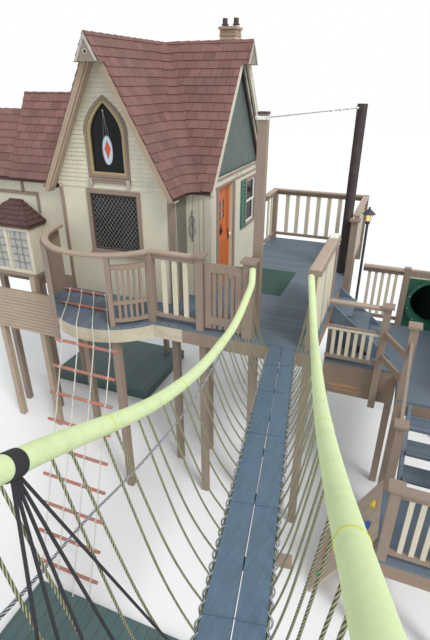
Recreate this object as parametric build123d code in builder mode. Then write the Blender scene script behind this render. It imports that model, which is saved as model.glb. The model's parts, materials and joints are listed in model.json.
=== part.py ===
"""Timber tree house on posts: steep gabled cabin, balcony, decks, rope bridge, rope ladder,
stairs, climbing ramp and tube slide. Millimetres, +Z up, origin at the foot of the tall post."""

import os
from math import asin, atan, cos, degrees, hypot, radians, sin, tan

from build123d import *

os.makedirs("parts", exist_ok=True)

MINS = (Align.MIN, Align.MIN, Align.MIN)
ON_FLOOR = (Align.CENTER, Align.CENTER, Align.MIN)
HUNG = (Align.CENTER, Align.CENTER, Align.MAX)

# Levels above the ground
deck_z = 2950
landing_z = 2150
foot_z = 1350

# Timber sections
board_t = 38
joist_w = 45
joist_h = 190
joist_gap = 620
post_w = 100
newel_w = 130
rail_h = 1000
rail_w = 90
rail_t = 38
sub_rail_h = 64
bottom_rail_h = 50
baluster_t = 25
slim_bar_w = 34
slim_bar_pitch = 118
front_bar_w = 64
front_bar_pitch = 155
wide_bar_w = 75
wide_bar_pitch = 195
landing_bar_w = 50
landing_bar_pitch = 108
bottom_gap = 90
cap_t = 30
cap_over = 30

# Cabin walls
wall_t = 100
front_y = 350
front_west_x = -3075
front_east_x = -1295
cross_y = 765
east_x = -925
back_y = 3215

# Cabin roofs: a north-south roof crossed by an eastward one
roof_v = 55
ridge_z = deck_z + 3390
ns_ridge_x = (front_west_x + front_east_x) / 2
ns_slope = 1.842
ns_half = 985
ew_ridge_y = (cross_y + back_y) / 2
eave_z = ridge_z - ns_slope * ns_half
ew_half = 1270
ew_slope = (ridge_z - eave_z) / ew_half
rake_y = 180
east_rake_x = -905
back_rake_y = back_y + 130
plate_z = ridge_z - roof_v - ns_slope * (ns_ridge_x - front_west_x)
cross_plate_z = ridge_z - roof_v - ew_slope * (ew_ridge_y - cross_y)
ns_eave_x = ns_ridge_x + ns_half
west_eave_x = ns_ridge_x - ns_half
ew_front_eave_y = ew_ridge_y - ew_half
ew_back_eave_y = ew_ridge_y + ew_half
back_valley_x = ns_ridge_x + ns_half * (back_y - ew_ridge_y) / ew_half
barge_t = 30
barge_v = 150

# West wing and its lower annex
wing_front_y = 750
wing_back_y = 1750
wing_ridge_y = (wing_front_y + wing_back_y) / 2
wing_ridge_z = deck_z + 2730
wing_slope = 1.842
wing_half = 630
wing_split_x = -4230
wing_end_x = -5050
wing_rake_x = wing_end_x - 110
annex_drop = 240
wing_eave_z = wing_ridge_z - wing_slope * wing_half
annex_slope = (wing_ridge_z - annex_drop - wing_eave_z) / wing_half
wing_plate_z = wing_ridge_z - roof_v - wing_slope * (wing_ridge_y - wing_front_y)
annex_plate_z = wing_ridge_z - annex_drop - roof_v - annex_slope * (wing_ridge_y - wing_front_y)
passage_y0 = 1000
passage_y1 = 1600

# Openings of the cabin
low_window_x0 = -2575
low_window_x1 = -1815
low_window_z0 = deck_z + 700
low_window_z1 = deck_z + 1520
low_trim_w = 45
low_trim_lap = 10
gothic_x0 = -2470
gothic_x1 = -1960
gothic_z0 = deck_z + 1790
gothic_spring_z = deck_z + 2240
gothic_top_z = deck_z + 2670
gothic_mid_x = (gothic_x0 + gothic_x1) / 2
gothic_share = 0.56
gothic_lean = 0.29
gothic_mid_z = gothic_spring_z + gothic_share * (gothic_top_z - gothic_spring_z)
door_y0 = 1050
door_y1 = 1650
door_t = 40
door_gap = 6
side_window_y0 = 2280
side_window_y1 = 2740
side_window_z0 = deck_z + 740
side_window_z1 = deck_z + 1460
gable_beam_z0 = deck_z + 1580
gable_beam_h = 110
gable_frame_v = 170
gable_recess = 40
trim_t = 22
trim_w = 70
pane_t = 60
apron_h = 60
apron_t = 30
apron_end_w = 55
apron_end_h = 110
apron_end_t = 50
shutter_w = 220
door_recess = 12
door_pane_y0 = 1180
door_pane_y1 = 1420
door_pane_z0 = deck_z + 1050
door_pane_z1 = deck_z + 1330
door_hinge_zs = [deck_z + 200, deck_z + 1250]
leaf_w = 26
gate_leaf_w = 20
gate_stile = 90
gate_rail = 110
gate_low = 60
gate_slat_w = 50
gate_slat_t = 22
knob_in = 60
knob_z = 760
knob_neck_r = 10
knob_neck = 25
knob_r = 24
prow_h = 290
prow_out = 100
prow_hole_drop = 190
prow_hole_r = 20
prow_hole_depth = 60
chimney_x0 = -1400
chimney_w = 340
chimney_y0 = 2150
chimney_y1 = 2450
chimney_z1 = deck_z + 3570
chimney_cap_t = 40
chimney_cap_over = 20
pot_r = 55
pot_h = 90
pot_wall = 12
bay_recess = 28
bay_over = 40
bay_hip_run = 420
balcony_bars = 5
low_rail_gap = 60
middle_rail_z = 310
sub_rail_z = 786
slim_post_w = 65
end_post_turns = 1.4
parapet_t = 60
parapet_cap_w = 160
cable_d = 12
rope_clear = 1
end_gap = 20
end_post_left = -560
end_post_right = 340
slide_panel_h = 860
slide_flat = 450
slide_bend = 900
lamp_in = 235
lamp_base_r = 45
lamp_base_h = 60
lamp_r = 28
lamp_h = 1700
lamp_head_r = 75
lamp_head_h = 160

# Bay window on the wing
bay_x0 = -4800
bay_x1 = -3820
bay_y = 370
bay_z0 = deck_z + 60
bay_z1 = deck_z + 860
bay_roof_rise = 330
bay_wall = 40

# Decks
deck_front_y = -250
deck_side_x = 800
deck_back_y = 4100
balcony_r = 1030
balcony_rail_r = 980
balcony_start_x = -1367
balcony_post_turn = 294
balcony_wall_turn = 240
balcony_skirt_z = deck_z - 450
cladding_t = 22
cladding_w = 88
cladding_count = 12
seat = 0.3
gate_post_x = -670
gate_gap = 13
gate_t = 40
gate_z0 = deck_z + 50
gate_z1 = deck_z + 930
gate_slats = 4
gate_hinge_zs = [gate_z0 + 120, gate_z1 - 220]
knuckle_r = 7
knuckle_h = 45
newel_x = -40
newel_y = -170
rail_y = -200
balcony_end_turn = 360 - degrees(asin((front_y - rail_y) / balcony_rail_r))
newel_front_y = newel_y - newel_w / 2
parapet_x = 730
parapet_y1 = 1200
steps_y0 = 1300
steps_y1 = 2050
side_rail_x = 850
side_post_y = 2450
side_post_top = deck_z + 950
back_rail_y = 4050

# Tall post and pole
tall_post_top = deck_z + 2590
pole_d = 150
pole_x = 720
pole_y = 2600
pole_top = deck_z + 2600
cable_drop = 40

# Bridge
bridge_x0 = 430
bridge_turn = degrees(atan(0.186))
bridge_len = 5050
bridge_rise = 956
plank_w = 145
plank_gap = 8
plank_t = 38
batten_t = 30
batten_w = 70
batten_count = 10
grip_d = 75
rope_d = 14
rope_count = 31
rope_start = 180
rope_end = bridge_len - 80
left_grip = [
    (10, -225, 3885),
    (75, -440, 3790),
    (215, -1400, 3755),
    (395, -2640, 4050),
    (525, -3550, 4410),
    (645, -4420, 4900),
    (720, -4900, 5130),
    (775, -5250, 5298),
]
right_grip = [
    (695, -225, 3900),
    (800, -600, 3735),
    (955, -1290, 3700),
    (1275, -3060, 4320),
    (1445, -3990, 4740),
    (1625, -4960, 5290),
    (1679, -5250, 5454),
]
end_post_w = 120
end_post_top = deck_z + 2600

# Rope ladder under the balcony gap
ladder_floor_rungs = [(-3150, -2330, 220), (-2890, -2020, -210)]
ladder_edge = (-2620, -1650, -715)
ladder_knee = (-2600, -1620, -770, deck_z - 250)
ladder_foot = (-2080, -1150, -2437, 124.2)
ladder_rungs = 9
ladder_pitch = 294
ladder_shares = (0.12, 0.38, 0.64, 0.9)
rung_d = 42

# Decks near the ground
porch_x0 = -4950
porch_x1 = -2700
porch_y0 = 1600
porch_y1 = 3400
porch_z = 200
low_deck_x0 = -2000
low_deck_x1 = 400
low_deck_y0 = -4400
low_deck_y1 = -2400
low_deck_z = 120
skirt_x0 = -4800
skirt_x1 = -3500
skirt_y = 300
skirt_z0 = deck_z - 950
skirt_z1 = deck_z - 200
skirt_slats = 10
skirt_share = 0.9
skirt_rail_h = 140

# Landing, stairs and lower platform
landing_x1 = 2850
landing_y0 = 1000
landing_y1 = 2600
landing_rim_z = 1590
landing_post_x = 1565
landing_post_y = landing_y0 - post_w / 2
landing_post_z0 = deck_z - 1420
landing_post_z1 = deck_z + 230
stair_x0 = 1850
stair_post_z1 = deck_z + 280
landing_top_rail_z = deck_z + 152
landing_low_rail_h = 650
corner_rail_h = 90
corner_rail_zs = (deck_z - 150, deck_z - 500)
hand_rail_z0 = deck_z + 100
hand_rail_z1 = deck_z - 660
stair_y = 340
tread_run = 250
tread_rise = 200
tread_t = 38
tread_count = 3
stringer_up = 40
stringer_down = 290
stringer_share = 3.6
tread_x0 = 2015
foot_x0 = 1870
foot_y0 = -1500
foot_y1 = stair_y - tread_count * tread_run
ramp_foot_x = 1210
ramp_t = 40
ramp_y0 = foot_y0 + 300
ramp_y1 = foot_y1 + 120

# Tube slide
slide_x = 2250
slide_z = landing_z + 450
slide_r = 380
slide_t = 14
slide_panel_x0 = 1810
slide_panel_t = 40
slide_end_y = 6000
slide_ring_w = 60


def outline(*points):
    """Draws a closed outline into the sketch that is open."""
    with BuildLine() as edge:
        Polyline(*points, close=True)
    make_face(edge.edges())


def ring_piece(radius, width, turn0, turn1):
    """Draws a piece of a flat ring round the balcony's centre into the sketch that is open."""
    with Locations((ns_ridge_x, front_y)):
        Circle(radius + width / 2)
        Circle(radius - width / 2, mode=Mode.SUBTRACT)
    spokes = [turn0 + (turn1 - turn0) * i / 3 for i in range(4)]
    with BuildLine() as wedge:
        Polyline(
            (ns_ridge_x, front_y),
            *[balcony_point(3 * radius, turn) for turn in spokes],
            close=True,
        )
    make_face(wedge.edges(), mode=Mode.INTERSECT)


def balcony_point(radius, turn):
    """Gives the point at a radius and an angle round the balcony's centre."""
    return (ns_ridge_x + radius * cos(radians(turn)), front_y + radius * sin(radians(turn)))


def gothic_arch(grow=0, mode=Mode.ADD):
    """Draws the pointed window's outline, grown by a width, into the sketch that is open."""
    x0, x1, z0 = gothic_x0 - grow, gothic_x1 + grow, gothic_z0 - grow
    lean = gothic_lean * (gothic_mid_x - gothic_x0)
    with BuildLine() as edge:
        Line((x0, z0), (x1, z0))
        Line((x1, z0), (x1, gothic_spring_z))
        ThreePointArc(
            (x1, gothic_spring_z),
            (x1 - lean, gothic_mid_z + grow / 2),
            (gothic_mid_x, gothic_top_z + grow),
        )
        ThreePointArc(
            (gothic_mid_x, gothic_top_z + grow),
            (x0 + lean, gothic_mid_z + grow / 2),
            (x0, gothic_spring_z),
        )
        Line((x0, gothic_spring_z), (x0, z0))
    make_face(edge.edges(), mode=mode)


def roof_slope(plane, profile, plan, length):
    """Adds a roof slope: a section drawn on a plane, extruded and trimmed to its plan."""
    with BuildSketch(plane) as section:
        outline(*profile)
    extrude(section.sketch, amount=length)
    with BuildSketch() as cover:
        outline(*plan)
    extrude(cover.sketch, amount=2 * ridge_z, mode=Mode.INTERSECT)


def block(x0, x1, y0, y1, z0, z1, mode=Mode.ADD):
    """Adds a box between two corners to the part that is open, or cuts it out."""
    with Locations((x0, y0, z0)):
        Box(x1 - x0, y1 - y0, z1 - z0, align=MINS, mode=mode)


def floor_frame(x0, x1, y0, y1, top):
    """Adds rim boards and joists under a rectangular floor to the open part."""
    block(x0, x1, y0, y0 + joist_w, top - joist_h, top)
    block(x0, x1, y1 - joist_w, y1, top - joist_h, top)
    bays = max(1, round((x1 - x0 - joist_w) / joist_gap))
    pitch = (x1 - x0 - joist_w) / bays
    for i in range(bays + 1):
        x = x0 + i * pitch
        block(x, x + joist_w, y0, y1, top - joist_h, top)


def railing(x0, y0, x1, y1, floor, height=rail_h, cap=True, bar_w=landing_bar_w, pitch=landing_bar_pitch):
    """Adds a straight railing with flat balusters between two points to the open part."""
    span = hypot(x1 - x0, y1 - y0)
    stand = Plane(origin=(x0, y0, floor), x_dir=(x1 - x0, y1 - y0, 0), z_dir=(0, 0, 1))
    length = span - 2 * seat
    bars = max(1, round(length / pitch) - 1)
    with Locations(stand):
        if cap:
            with Locations((span / 2, 0, height)):
                Box(length, post_w, rail_t, align=HUNG)
        with Locations((span / 2, 0, height - rail_t)):
            Box(length, joist_w, sub_rail_h, align=HUNG)
        with Locations((span / 2, 0, bottom_gap)):
            Box(length, joist_w, bottom_rail_h, align=ON_FLOOR)
        with Locations((span / 2, 0, bottom_gap)):
            with GridLocations(length / (bars + 1), 1, bars, 1):
                Box(bar_w, baluster_t, height - bottom_gap - rail_t, align=ON_FLOOR)


def capped_post(x, y, z0, z1, width=newel_w):
    """Adds a square post with a flat cap to the open part."""
    with Locations((x, y, z0)):
        Box(width, width, z1 - z0 - cap_t, align=ON_FLOOR)
    with Locations((x, y, z1 - cap_t)):
        Box(width + 2 * cap_over, width + 2 * cap_over, cap_t, align=ON_FLOOR)


def bar(p0, p1, diameter):
    """Adds a round bar between two points to the open part."""
    run = Vector(*p1) - Vector(*p0)
    with BuildSketch(Plane(origin=p0, z_dir=run)) as section:
        Circle(diameter / 2)
    extrude(section.sketch, amount=run.length)


def soft_route(points):
    """Makes a path through points with bends as large as its runs allow."""
    runs = [Vector(*b) - Vector(*a) for a, b in zip(points, points[1:])]
    radii = [
        0.45 * min(a.length, b.length) / tan(radians(a.get_angle(b)) / 2)
        for a, b in zip(runs, runs[1:])
    ]
    with BuildLine() as path:
        FilletPolyline(*points, radius=radii)
    return path.wire()


def rope(route, diameter):
    """Adds a round rope or rail along a path to the open part."""
    with BuildSketch(Plane(origin=route @ 0, z_dir=route % 0)) as section:
        Circle(diameter / 2)
    sweep(section.sketch, path=route)


def on_route(route, y):
    """Gives the share of a path that leads away from the deck at which it passes a depth."""
    near, far = 0.0, 1.0
    for _ in range(30):
        middle = (near + far) / 2
        if (route @ middle).Y > y:
            near = middle
        else:
            far = middle
    return near


def plank(p0, p1, width, thick):
    """Adds a flat board whose upper middle line runs between two points to the open part."""
    run = Vector(*p1) - Vector(*p0)
    across = Vector(0, 0, 1).cross(run)
    with BuildSketch(Plane(origin=p0, x_dir=across, z_dir=run)) as section:
        with Locations((0, -thick / 2)):
            Rectangle(width, thick)
    extrude(section.sketch, amount=run.length)


def flight(place, width, fall):
    """Adds treads between two slanted side boards, leading down along the place's x axis."""
    side_z = -stringer_down
    end_u = stringer_share * tread_run
    with Locations(place):
        for i in range(tread_count):
            with Locations((i * tread_run + seat, joist_w + seat, -(i + 1) * tread_rise - tread_t)):
                Box(tread_run + cap_over, width - 2 * joist_w - 2 * seat, tread_t, align=MINS)
    for start in (0, width - joist_w):
        origin = place * Pos(0, start, 0)
        with BuildSketch(Plane(origin) * Rot(90, 0, 0)) as section:
            outline(
                (0, -stringer_up),
                (end_u, -stringer_up - tread_rise * stringer_share),
                (end_u, -fall),
                (tread_run * (fall + side_z) / tread_rise, -fall),
                (0, side_z),
            )
        extrude(section.sketch, amount=-joist_w)


# Floors: boards laid on rims and joists
boards_z = deck_z - board_t

with BuildPart() as floor_side:
    block(east_x, deck_side_x, deck_front_y, deck_back_y, boards_z, deck_z)
    with Locations((0, 0, boards_z)):
        Box(post_w, post_w, board_t, align=ON_FLOOR, mode=Mode.SUBTRACT)

with BuildPart() as floor_front:
    with BuildSketch(Plane.XY.offset(boards_z)):
        with Locations((ns_ridge_x, front_y)):
            Circle(balcony_r)
            Rectangle(3 * balcony_r, 2 * balcony_r, align=(Align.CENTER, Align.MIN), mode=Mode.SUBTRACT)
        outline(
            (front_west_x, front_y),
            (front_east_x, front_y),
            (front_east_x, cross_y),
            (east_x, cross_y),
            (east_x, deck_front_y),
            (ns_ridge_x, deck_front_y),
        )
    extrude(amount=board_t)

with BuildPart() as floor_cabin:
    with BuildSketch(Plane.XY.offset(boards_z)):
        outline(
            (front_west_x, front_y),
            (front_east_x, front_y),
            (front_east_x, cross_y),
            (east_x, cross_y),
            (east_x, back_y),
            (front_west_x, back_y),
            (front_west_x, wing_back_y),
            (wing_end_x, wing_back_y),
            (wing_end_x, wing_front_y),
            (front_west_x, wing_front_y),
        )
    extrude(amount=board_t)

with BuildPart() as frame_side:
    floor_frame(east_x, deck_side_x, deck_front_y, deck_back_y, boards_z)

with BuildPart() as frame_cabin:
    floor_frame(front_west_x, east_x, cross_y, back_y, boards_z)
    beam_z = boards_z - joist_h
    block(front_west_x, front_east_x, front_y, front_y + joist_w, beam_z, boards_z)
    block(front_west_x, front_west_x + joist_w, front_y, cross_y, beam_z, boards_z)
    block(front_east_x - joist_w, front_east_x, front_y, cross_y, beam_z, boards_z)
    block(front_west_x, east_x, ew_ridge_y - joist_w, ew_ridge_y, beam_z, boards_z)
    floor_frame(wing_end_x, front_west_x, wing_front_y, wing_back_y, boards_z)

with BuildPart() as frame_front:
    block(balcony_start_x, east_x, deck_front_y, deck_front_y + joist_w, beam_z, boards_z)
    block(front_east_x, front_east_x + joist_w, deck_front_y, cross_y, beam_z, boards_z)
    block(ns_ridge_x, ns_ridge_x + joist_w, front_y - balcony_r + joist_w, front_y, beam_z, boards_z)
    with BuildSketch(Plane.XY.offset(boards_z)):
        with Locations((ns_ridge_x, front_y)):
            Circle(balcony_r)
            Circle(balcony_r - joist_w, mode=Mode.SUBTRACT)
            Rectangle(3 * balcony_r, 2 * balcony_r, align=(Align.CENTER, Align.MIN), mode=Mode.SUBTRACT)
        with Locations((balcony_start_x, deck_front_y)):
            Rectangle(balcony_r, balcony_r, align=(Align.MIN, Align.MIN), mode=Mode.SUBTRACT)
    extrude(amount=-joist_h)

# Posts standing on the ground
half_post = post_w / 2
balcony_post = balcony_point(balcony_r - joist_w - post_w, balcony_post_turn)
cabin_spots = [
    (front_west_x + half_post, front_y + half_post),
    (front_east_x - half_post, front_y + half_post),
    (front_west_x + half_post, back_y - half_post),
    (east_x - half_post, back_y - half_post),
    (east_x - half_post, cross_y + half_post),
    (ns_ridge_x, ew_ridge_y),
    (wing_end_x + half_post, wing_front_y + half_post),
    (wing_end_x + half_post, wing_back_y - half_post),
    (wing_split_x, wing_front_y + half_post),
    (wing_split_x, wing_back_y - half_post),
]
side_spots = [
    (deck_side_x - half_post, deck_front_y + half_post),
    (deck_side_x - half_post, ew_ridge_y),
    (deck_side_x - half_post, deck_back_y - half_post),
    (east_x + half_post, deck_back_y - half_post),
]
landing_spots = [
    (landing_x1 - half_post, landing_y1 - half_post),
    (stair_x0 - half_post, landing_y0 + joist_w + half_post),
    (stair_x0 + half_post, stair_y + half_post),
    (landing_x1 - half_post, stair_y + half_post),
]
foot_spots = [
    (foot_x0 + half_post, foot_y0 + half_post),
    (landing_x1 - half_post, foot_y0 + half_post),
    (foot_x0 + half_post, foot_y1 - half_post),
    (landing_x1 - half_post, foot_y1 - half_post),
]
landing_beam_z = landing_z - board_t - joist_h
foot_beam_z = foot_z - board_t - joist_h

with BuildPart() as posts_cabin:
    with Locations(*[(x, y, 0) for x, y in cabin_spots]):
        Box(post_w, post_w, beam_z, align=ON_FLOOR)

with BuildPart() as posts_deck:
    with Locations(*[(x, y, 0) for x, y in side_spots]):
        Box(post_w, post_w, beam_z, align=ON_FLOOR)
    with Locations(*[(x, y, 0) for x, y in landing_spots]):
        Box(post_w, post_w, landing_beam_z, align=ON_FLOOR)
    with Locations(*[(x, y, 0) for x, y in foot_spots]):
        Box(post_w, post_w, foot_beam_z, align=ON_FLOOR)
    with Locations((*balcony_post, 0), (gate_post_x, rail_y + joist_w + half_post, 0)):
        Box(post_w, post_w, boards_z, align=ON_FLOOR)

with BuildPart() as tall_post:
    Box(post_w, post_w, tall_post_top, align=ON_FLOOR)

with BuildPart() as back_pole:
    with Locations((pole_x, pole_y, deck_z)):
        Cylinder(pole_d / 2, pole_top - deck_z, align=ON_FLOOR)

# Cabin walls
low_w = low_window_x1 - low_window_x0
low_h = low_window_z1 - low_window_z0
low_middle = ((low_window_x0 + low_window_x1) / 2, (low_window_z0 + low_window_z1) / 2)

with BuildPart() as wall_front:
    with BuildSketch(Plane.XZ.offset(-front_y)):
        outline(
            (front_west_x, deck_z),
            (front_east_x, deck_z),
            (front_east_x, plate_z),
            (ns_ridge_x, ridge_z - roof_v),
            (front_west_x, plate_z),
        )
        with Locations(low_middle):
            Rectangle(low_w, low_h, mode=Mode.SUBTRACT)
        gothic_arch(mode=Mode.SUBTRACT)
    extrude(amount=-wall_t)

with BuildPart() as wall_return:
    block(front_east_x - wall_t, front_east_x, front_y + wall_t, cross_y + wall_t, deck_z, plate_z)
    block(front_east_x, east_x, cross_y, cross_y + wall_t, deck_z, cross_plate_z)

with BuildPart() as wall_west:
    block(front_west_x, front_west_x + wall_t, front_y + wall_t, passage_y0, deck_z, plate_z)
    block(front_west_x, front_west_x + wall_t, passage_y1, back_y - wall_t, deck_z, plate_z)

with BuildPart() as wall_back:
    with BuildSketch(Plane.XZ.offset(-(back_y - wall_t))):
        outline(
            (front_west_x, deck_z),
            (east_x, deck_z),
            (east_x, cross_plate_z),
            (back_valley_x, cross_plate_z),
            (ns_ridge_x, ridge_z - roof_v),
            (front_west_x, plate_z),
        )
    extrude(amount=-wall_t)

with BuildPart() as wall_east_south:
    block(east_x - wall_t, east_x, cross_y + wall_t, door_y0, deck_z, gable_beam_z0)

with BuildPart() as wall_east_north:
    block(east_x - wall_t, east_x, door_y1, back_y - wall_t, deck_z, gable_beam_z0)
    block(
        east_x - wall_t,
        east_x,
        side_window_y0,
        side_window_y1,
        side_window_z0,
        side_window_z1,
        mode=Mode.SUBTRACT,
    )

with BuildPart() as gable_east:
    inner_y0 = cross_y + wall_t
    inner_y1 = back_y - wall_t
    inner_eave_z = ridge_z - roof_v - ew_slope * (ew_ridge_y - inner_y0)
    with BuildSketch(Plane.YZ.offset(east_x - wall_t)):
        outline(
            (inner_y0, gable_beam_z0),
            (inner_y1, gable_beam_z0),
            (inner_y1, inner_eave_z),
            (ew_ridge_y, ridge_z - roof_v),
            (inner_y0, inner_eave_z),
        )
    extrude(amount=wall_t)
    glass_z0 = gable_beam_z0 + gable_beam_h
    glass_half = (ridge_z - roof_v - gable_frame_v - glass_z0) / ew_slope
    with BuildSketch(Plane.YZ.offset(east_x)):
        outline(
            (ew_ridge_y - glass_half, glass_z0),
            (ew_ridge_y + glass_half, glass_z0),
            (ew_ridge_y, ridge_z - roof_v - gable_frame_v),
        )
    extrude(amount=-gable_recess, mode=Mode.SUBTRACT)

with BuildPart() as wing_front:
    with BuildSketch(Plane.XZ.offset(-wing_front_y)):
        outline(
            (wing_end_x, deck_z),
            (front_west_x, deck_z),
            (front_west_x, plate_z),
            (west_eave_x, eave_z - roof_v),
            (west_eave_x, wing_plate_z),
            (wing_split_x, wing_plate_z),
            (wing_split_x, annex_plate_z),
            (wing_end_x, annex_plate_z),
        )
        with Locations(((bay_x0 + bay_x1) / 2, (bay_z0 + bay_z1) / 2)):
            Rectangle(
                bay_x1 - bay_x0 - 2 * bay_wall,
                bay_z1 - bay_z0 - 2 * bay_wall,
                mode=Mode.SUBTRACT,
            )
    extrude(amount=-wall_t)

with BuildPart() as wing_back:
    with BuildSketch(Plane.XZ.offset(wall_t - wing_back_y)):
        outline(
            (wing_end_x, deck_z),
            (front_west_x, deck_z),
            (front_west_x, plate_z),
            (west_eave_x, eave_z - roof_v),
            (west_eave_x, wing_plate_z),
            (wing_split_x, wing_plate_z),
            (wing_split_x, annex_plate_z),
            (wing_end_x, annex_plate_z),
        )
    extrude(amount=-wall_t)

with BuildPart() as wing_gables:
    gable_y0 = wing_front_y + wall_t
    gable_y1 = wing_back_y - wall_t
    annex_inner_z = annex_plate_z + annex_slope * wall_t
    wing_inner_z = wing_plate_z + wing_slope * wall_t
    annex_top_z = wing_ridge_z - annex_drop - roof_v
    with BuildSketch(Plane.YZ.offset(wing_end_x)):
        outline(
            (gable_y0, deck_z),
            (gable_y1, deck_z),
            (gable_y1, annex_inner_z),
            (wing_ridge_y, annex_top_z),
            (gable_y0, annex_inner_z),
        )
    extrude(amount=wall_t)
    with BuildSketch(Plane.YZ.offset(wing_split_x)):
        outline(
            (gable_y0, annex_inner_z),
            (wing_ridge_y, annex_top_z),
            (gable_y1, annex_inner_z),
            (gable_y1, wing_inner_z),
            (wing_ridge_y, wing_ridge_z - roof_v),
            (gable_y0, wing_inner_z),
        )
    extrude(amount=wall_t / 2)

# Roof slopes, met in the valleys
with BuildPart() as roof_west:
    roof_slope(
        Plane.XZ.offset(-back_rake_y),
        [
            (ns_ridge_x, ridge_z),
            (west_eave_x, eave_z),
            (west_eave_x, eave_z - roof_v),
            (ns_ridge_x, ridge_z - roof_v),
        ],
        [
            (west_eave_x, rake_y),
            (ns_ridge_x, rake_y),
            (ns_ridge_x, back_rake_y),
            (west_eave_x, back_rake_y),
        ],
        back_rake_y - rake_y,
    )

ns_east_section = [
    (ns_ridge_x, ridge_z),
    (ns_eave_x, eave_z),
    (ns_eave_x, eave_z - roof_v),
    (ns_ridge_x, ridge_z - roof_v),
]

with BuildPart() as roof_front_east:
    roof_slope(
        Plane.XZ.offset(-ew_ridge_y),
        ns_east_section,
        [
            (ns_ridge_x, rake_y),
            (ns_eave_x, rake_y),
            (ns_eave_x, ew_front_eave_y),
            (ns_ridge_x, ew_ridge_y),
        ],
        ew_ridge_y - rake_y,
    )

with BuildPart() as roof_back_east:
    roof_slope(
        Plane.XZ.offset(-back_rake_y),
        ns_east_section,
        [
            (ns_ridge_x, ew_ridge_y),
            (ns_eave_x, ew_back_eave_y),
            (ns_eave_x, back_rake_y),
            (ns_ridge_x, back_rake_y),
        ],
        back_rake_y - ew_ridge_y,
    )

with BuildPart() as roof_east_front:
    roof_slope(
        Plane.YZ.offset(ns_ridge_x),
        [
            (ew_ridge_y, ridge_z),
            (ew_front_eave_y, eave_z),
            (ew_front_eave_y, eave_z - roof_v),
            (ew_ridge_y, ridge_z - roof_v),
        ],
        [
            (ns_ridge_x, ew_ridge_y),
            (ns_eave_x, ew_front_eave_y),
            (east_rake_x, ew_front_eave_y),
            (east_rake_x, ew_ridge_y),
        ],
        east_rake_x - ns_ridge_x,
    )

with BuildPart() as roof_east_back:
    roof_slope(
        Plane.YZ.offset(ns_ridge_x),
        [
            (ew_ridge_y, ridge_z),
            (ew_back_eave_y, eave_z),
            (ew_back_eave_y, eave_z - roof_v),
            (ew_ridge_y, ridge_z - roof_v),
        ],
        [
            (ns_ridge_x, ew_ridge_y),
            (east_rake_x, ew_ridge_y),
            (east_rake_x, ew_back_eave_y),
            (ns_eave_x, ew_back_eave_y),
        ],
        east_rake_x - ns_ridge_x,
    )

with BuildPart() as roof_wing:
    wing_section = [
        (wing_ridge_y, wing_ridge_z),
        (wing_ridge_y + wing_half, wing_eave_z),
        (wing_ridge_y + wing_half, wing_eave_z - roof_v),
        (wing_ridge_y, wing_ridge_z - roof_v),
        (wing_ridge_y - wing_half, wing_eave_z - roof_v),
        (wing_ridge_y - wing_half, wing_eave_z),
    ]
    with BuildSketch(Plane.YZ.offset(wing_split_x)):
        outline(*wing_section)
    extrude(amount=ns_ridge_x - wing_split_x)
    with BuildSketch(Plane.XZ.offset(-wing_ridge_y)):
        outline(
            (ns_ridge_x, ridge_z),
            (west_eave_x, eave_z),
            (west_eave_x, eave_z - roof_v),
            (front_west_x, plate_z),
            (front_west_x, deck_z),
            (ns_ridge_x, deck_z),
        )
    extrude(amount=wing_half, both=True, mode=Mode.SUBTRACT)
    with BuildSketch(Plane.YZ.offset(wing_rake_x)):
        outline(
            (wing_ridge_y, wing_ridge_z - annex_drop),
            (wing_ridge_y + wing_half, wing_eave_z),
            (wing_ridge_y + wing_half, wing_eave_z - roof_v),
            (wing_ridge_y, wing_ridge_z - annex_drop - roof_v),
            (wing_ridge_y - wing_half, wing_eave_z - roof_v),
            (wing_ridge_y - wing_half, wing_eave_z),
        )
    extrude(amount=wing_split_x - wing_rake_x)

with BuildPart() as barge_front:
    barge_end = (barge_v - roof_v) / ns_slope
    with BuildSketch(Plane.XZ.offset(-rake_y)):
        outline(
            (ns_ridge_x, ridge_z),
            (ns_eave_x, eave_z),
            (ns_eave_x, eave_z - roof_v),
            (ns_eave_x - barge_end, eave_z - roof_v),
            (ns_ridge_x, ridge_z - barge_v),
            (west_eave_x + barge_end, eave_z - roof_v),
            (west_eave_x, eave_z - roof_v),
            (west_eave_x, eave_z),
        )
    extrude(amount=barge_t)

with BuildPart() as barge_east:
    barge_end = (barge_v - roof_v) / ew_slope
    with BuildSketch(Plane.YZ.offset(east_rake_x)):
        outline(
            (ew_ridge_y, ridge_z),
            (ew_front_eave_y, eave_z),
            (ew_front_eave_y, eave_z - roof_v),
            (ew_front_eave_y + barge_end, eave_z - roof_v),
            (ew_ridge_y, ridge_z - barge_v),
            (ew_back_eave_y - barge_end, eave_z - roof_v),
            (ew_back_eave_y, eave_z - roof_v),
            (ew_back_eave_y, eave_z),
        )
    extrude(amount=barge_t)

# Small triangular boxes that carry the ridges on past the barge boards
with BuildPart() as prows:
    for stand, slope in (
        (Plane(origin=(ns_ridge_x, rake_y - barge_t, 0), x_dir=(1, 0, 0), z_dir=(0, -1, 0)), ns_slope),
        (Plane(origin=(east_rake_x + barge_t, ew_ridge_y, 0), x_dir=(0, 1, 0), z_dir=(1, 0, 0)), ew_slope),
    ):
        with BuildSketch(stand):
            outline(
                (0, ridge_z),
                (-prow_h / slope, ridge_z - prow_h),
                (prow_h / slope, ridge_z - prow_h),
            )
        extrude(amount=prow_out)
        with BuildSketch(stand.offset(prow_out)):
            with Locations((0, ridge_z - prow_hole_drop)):
                Circle(prow_hole_r)
        extrude(amount=-prow_hole_depth, mode=Mode.SUBTRACT)

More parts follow.
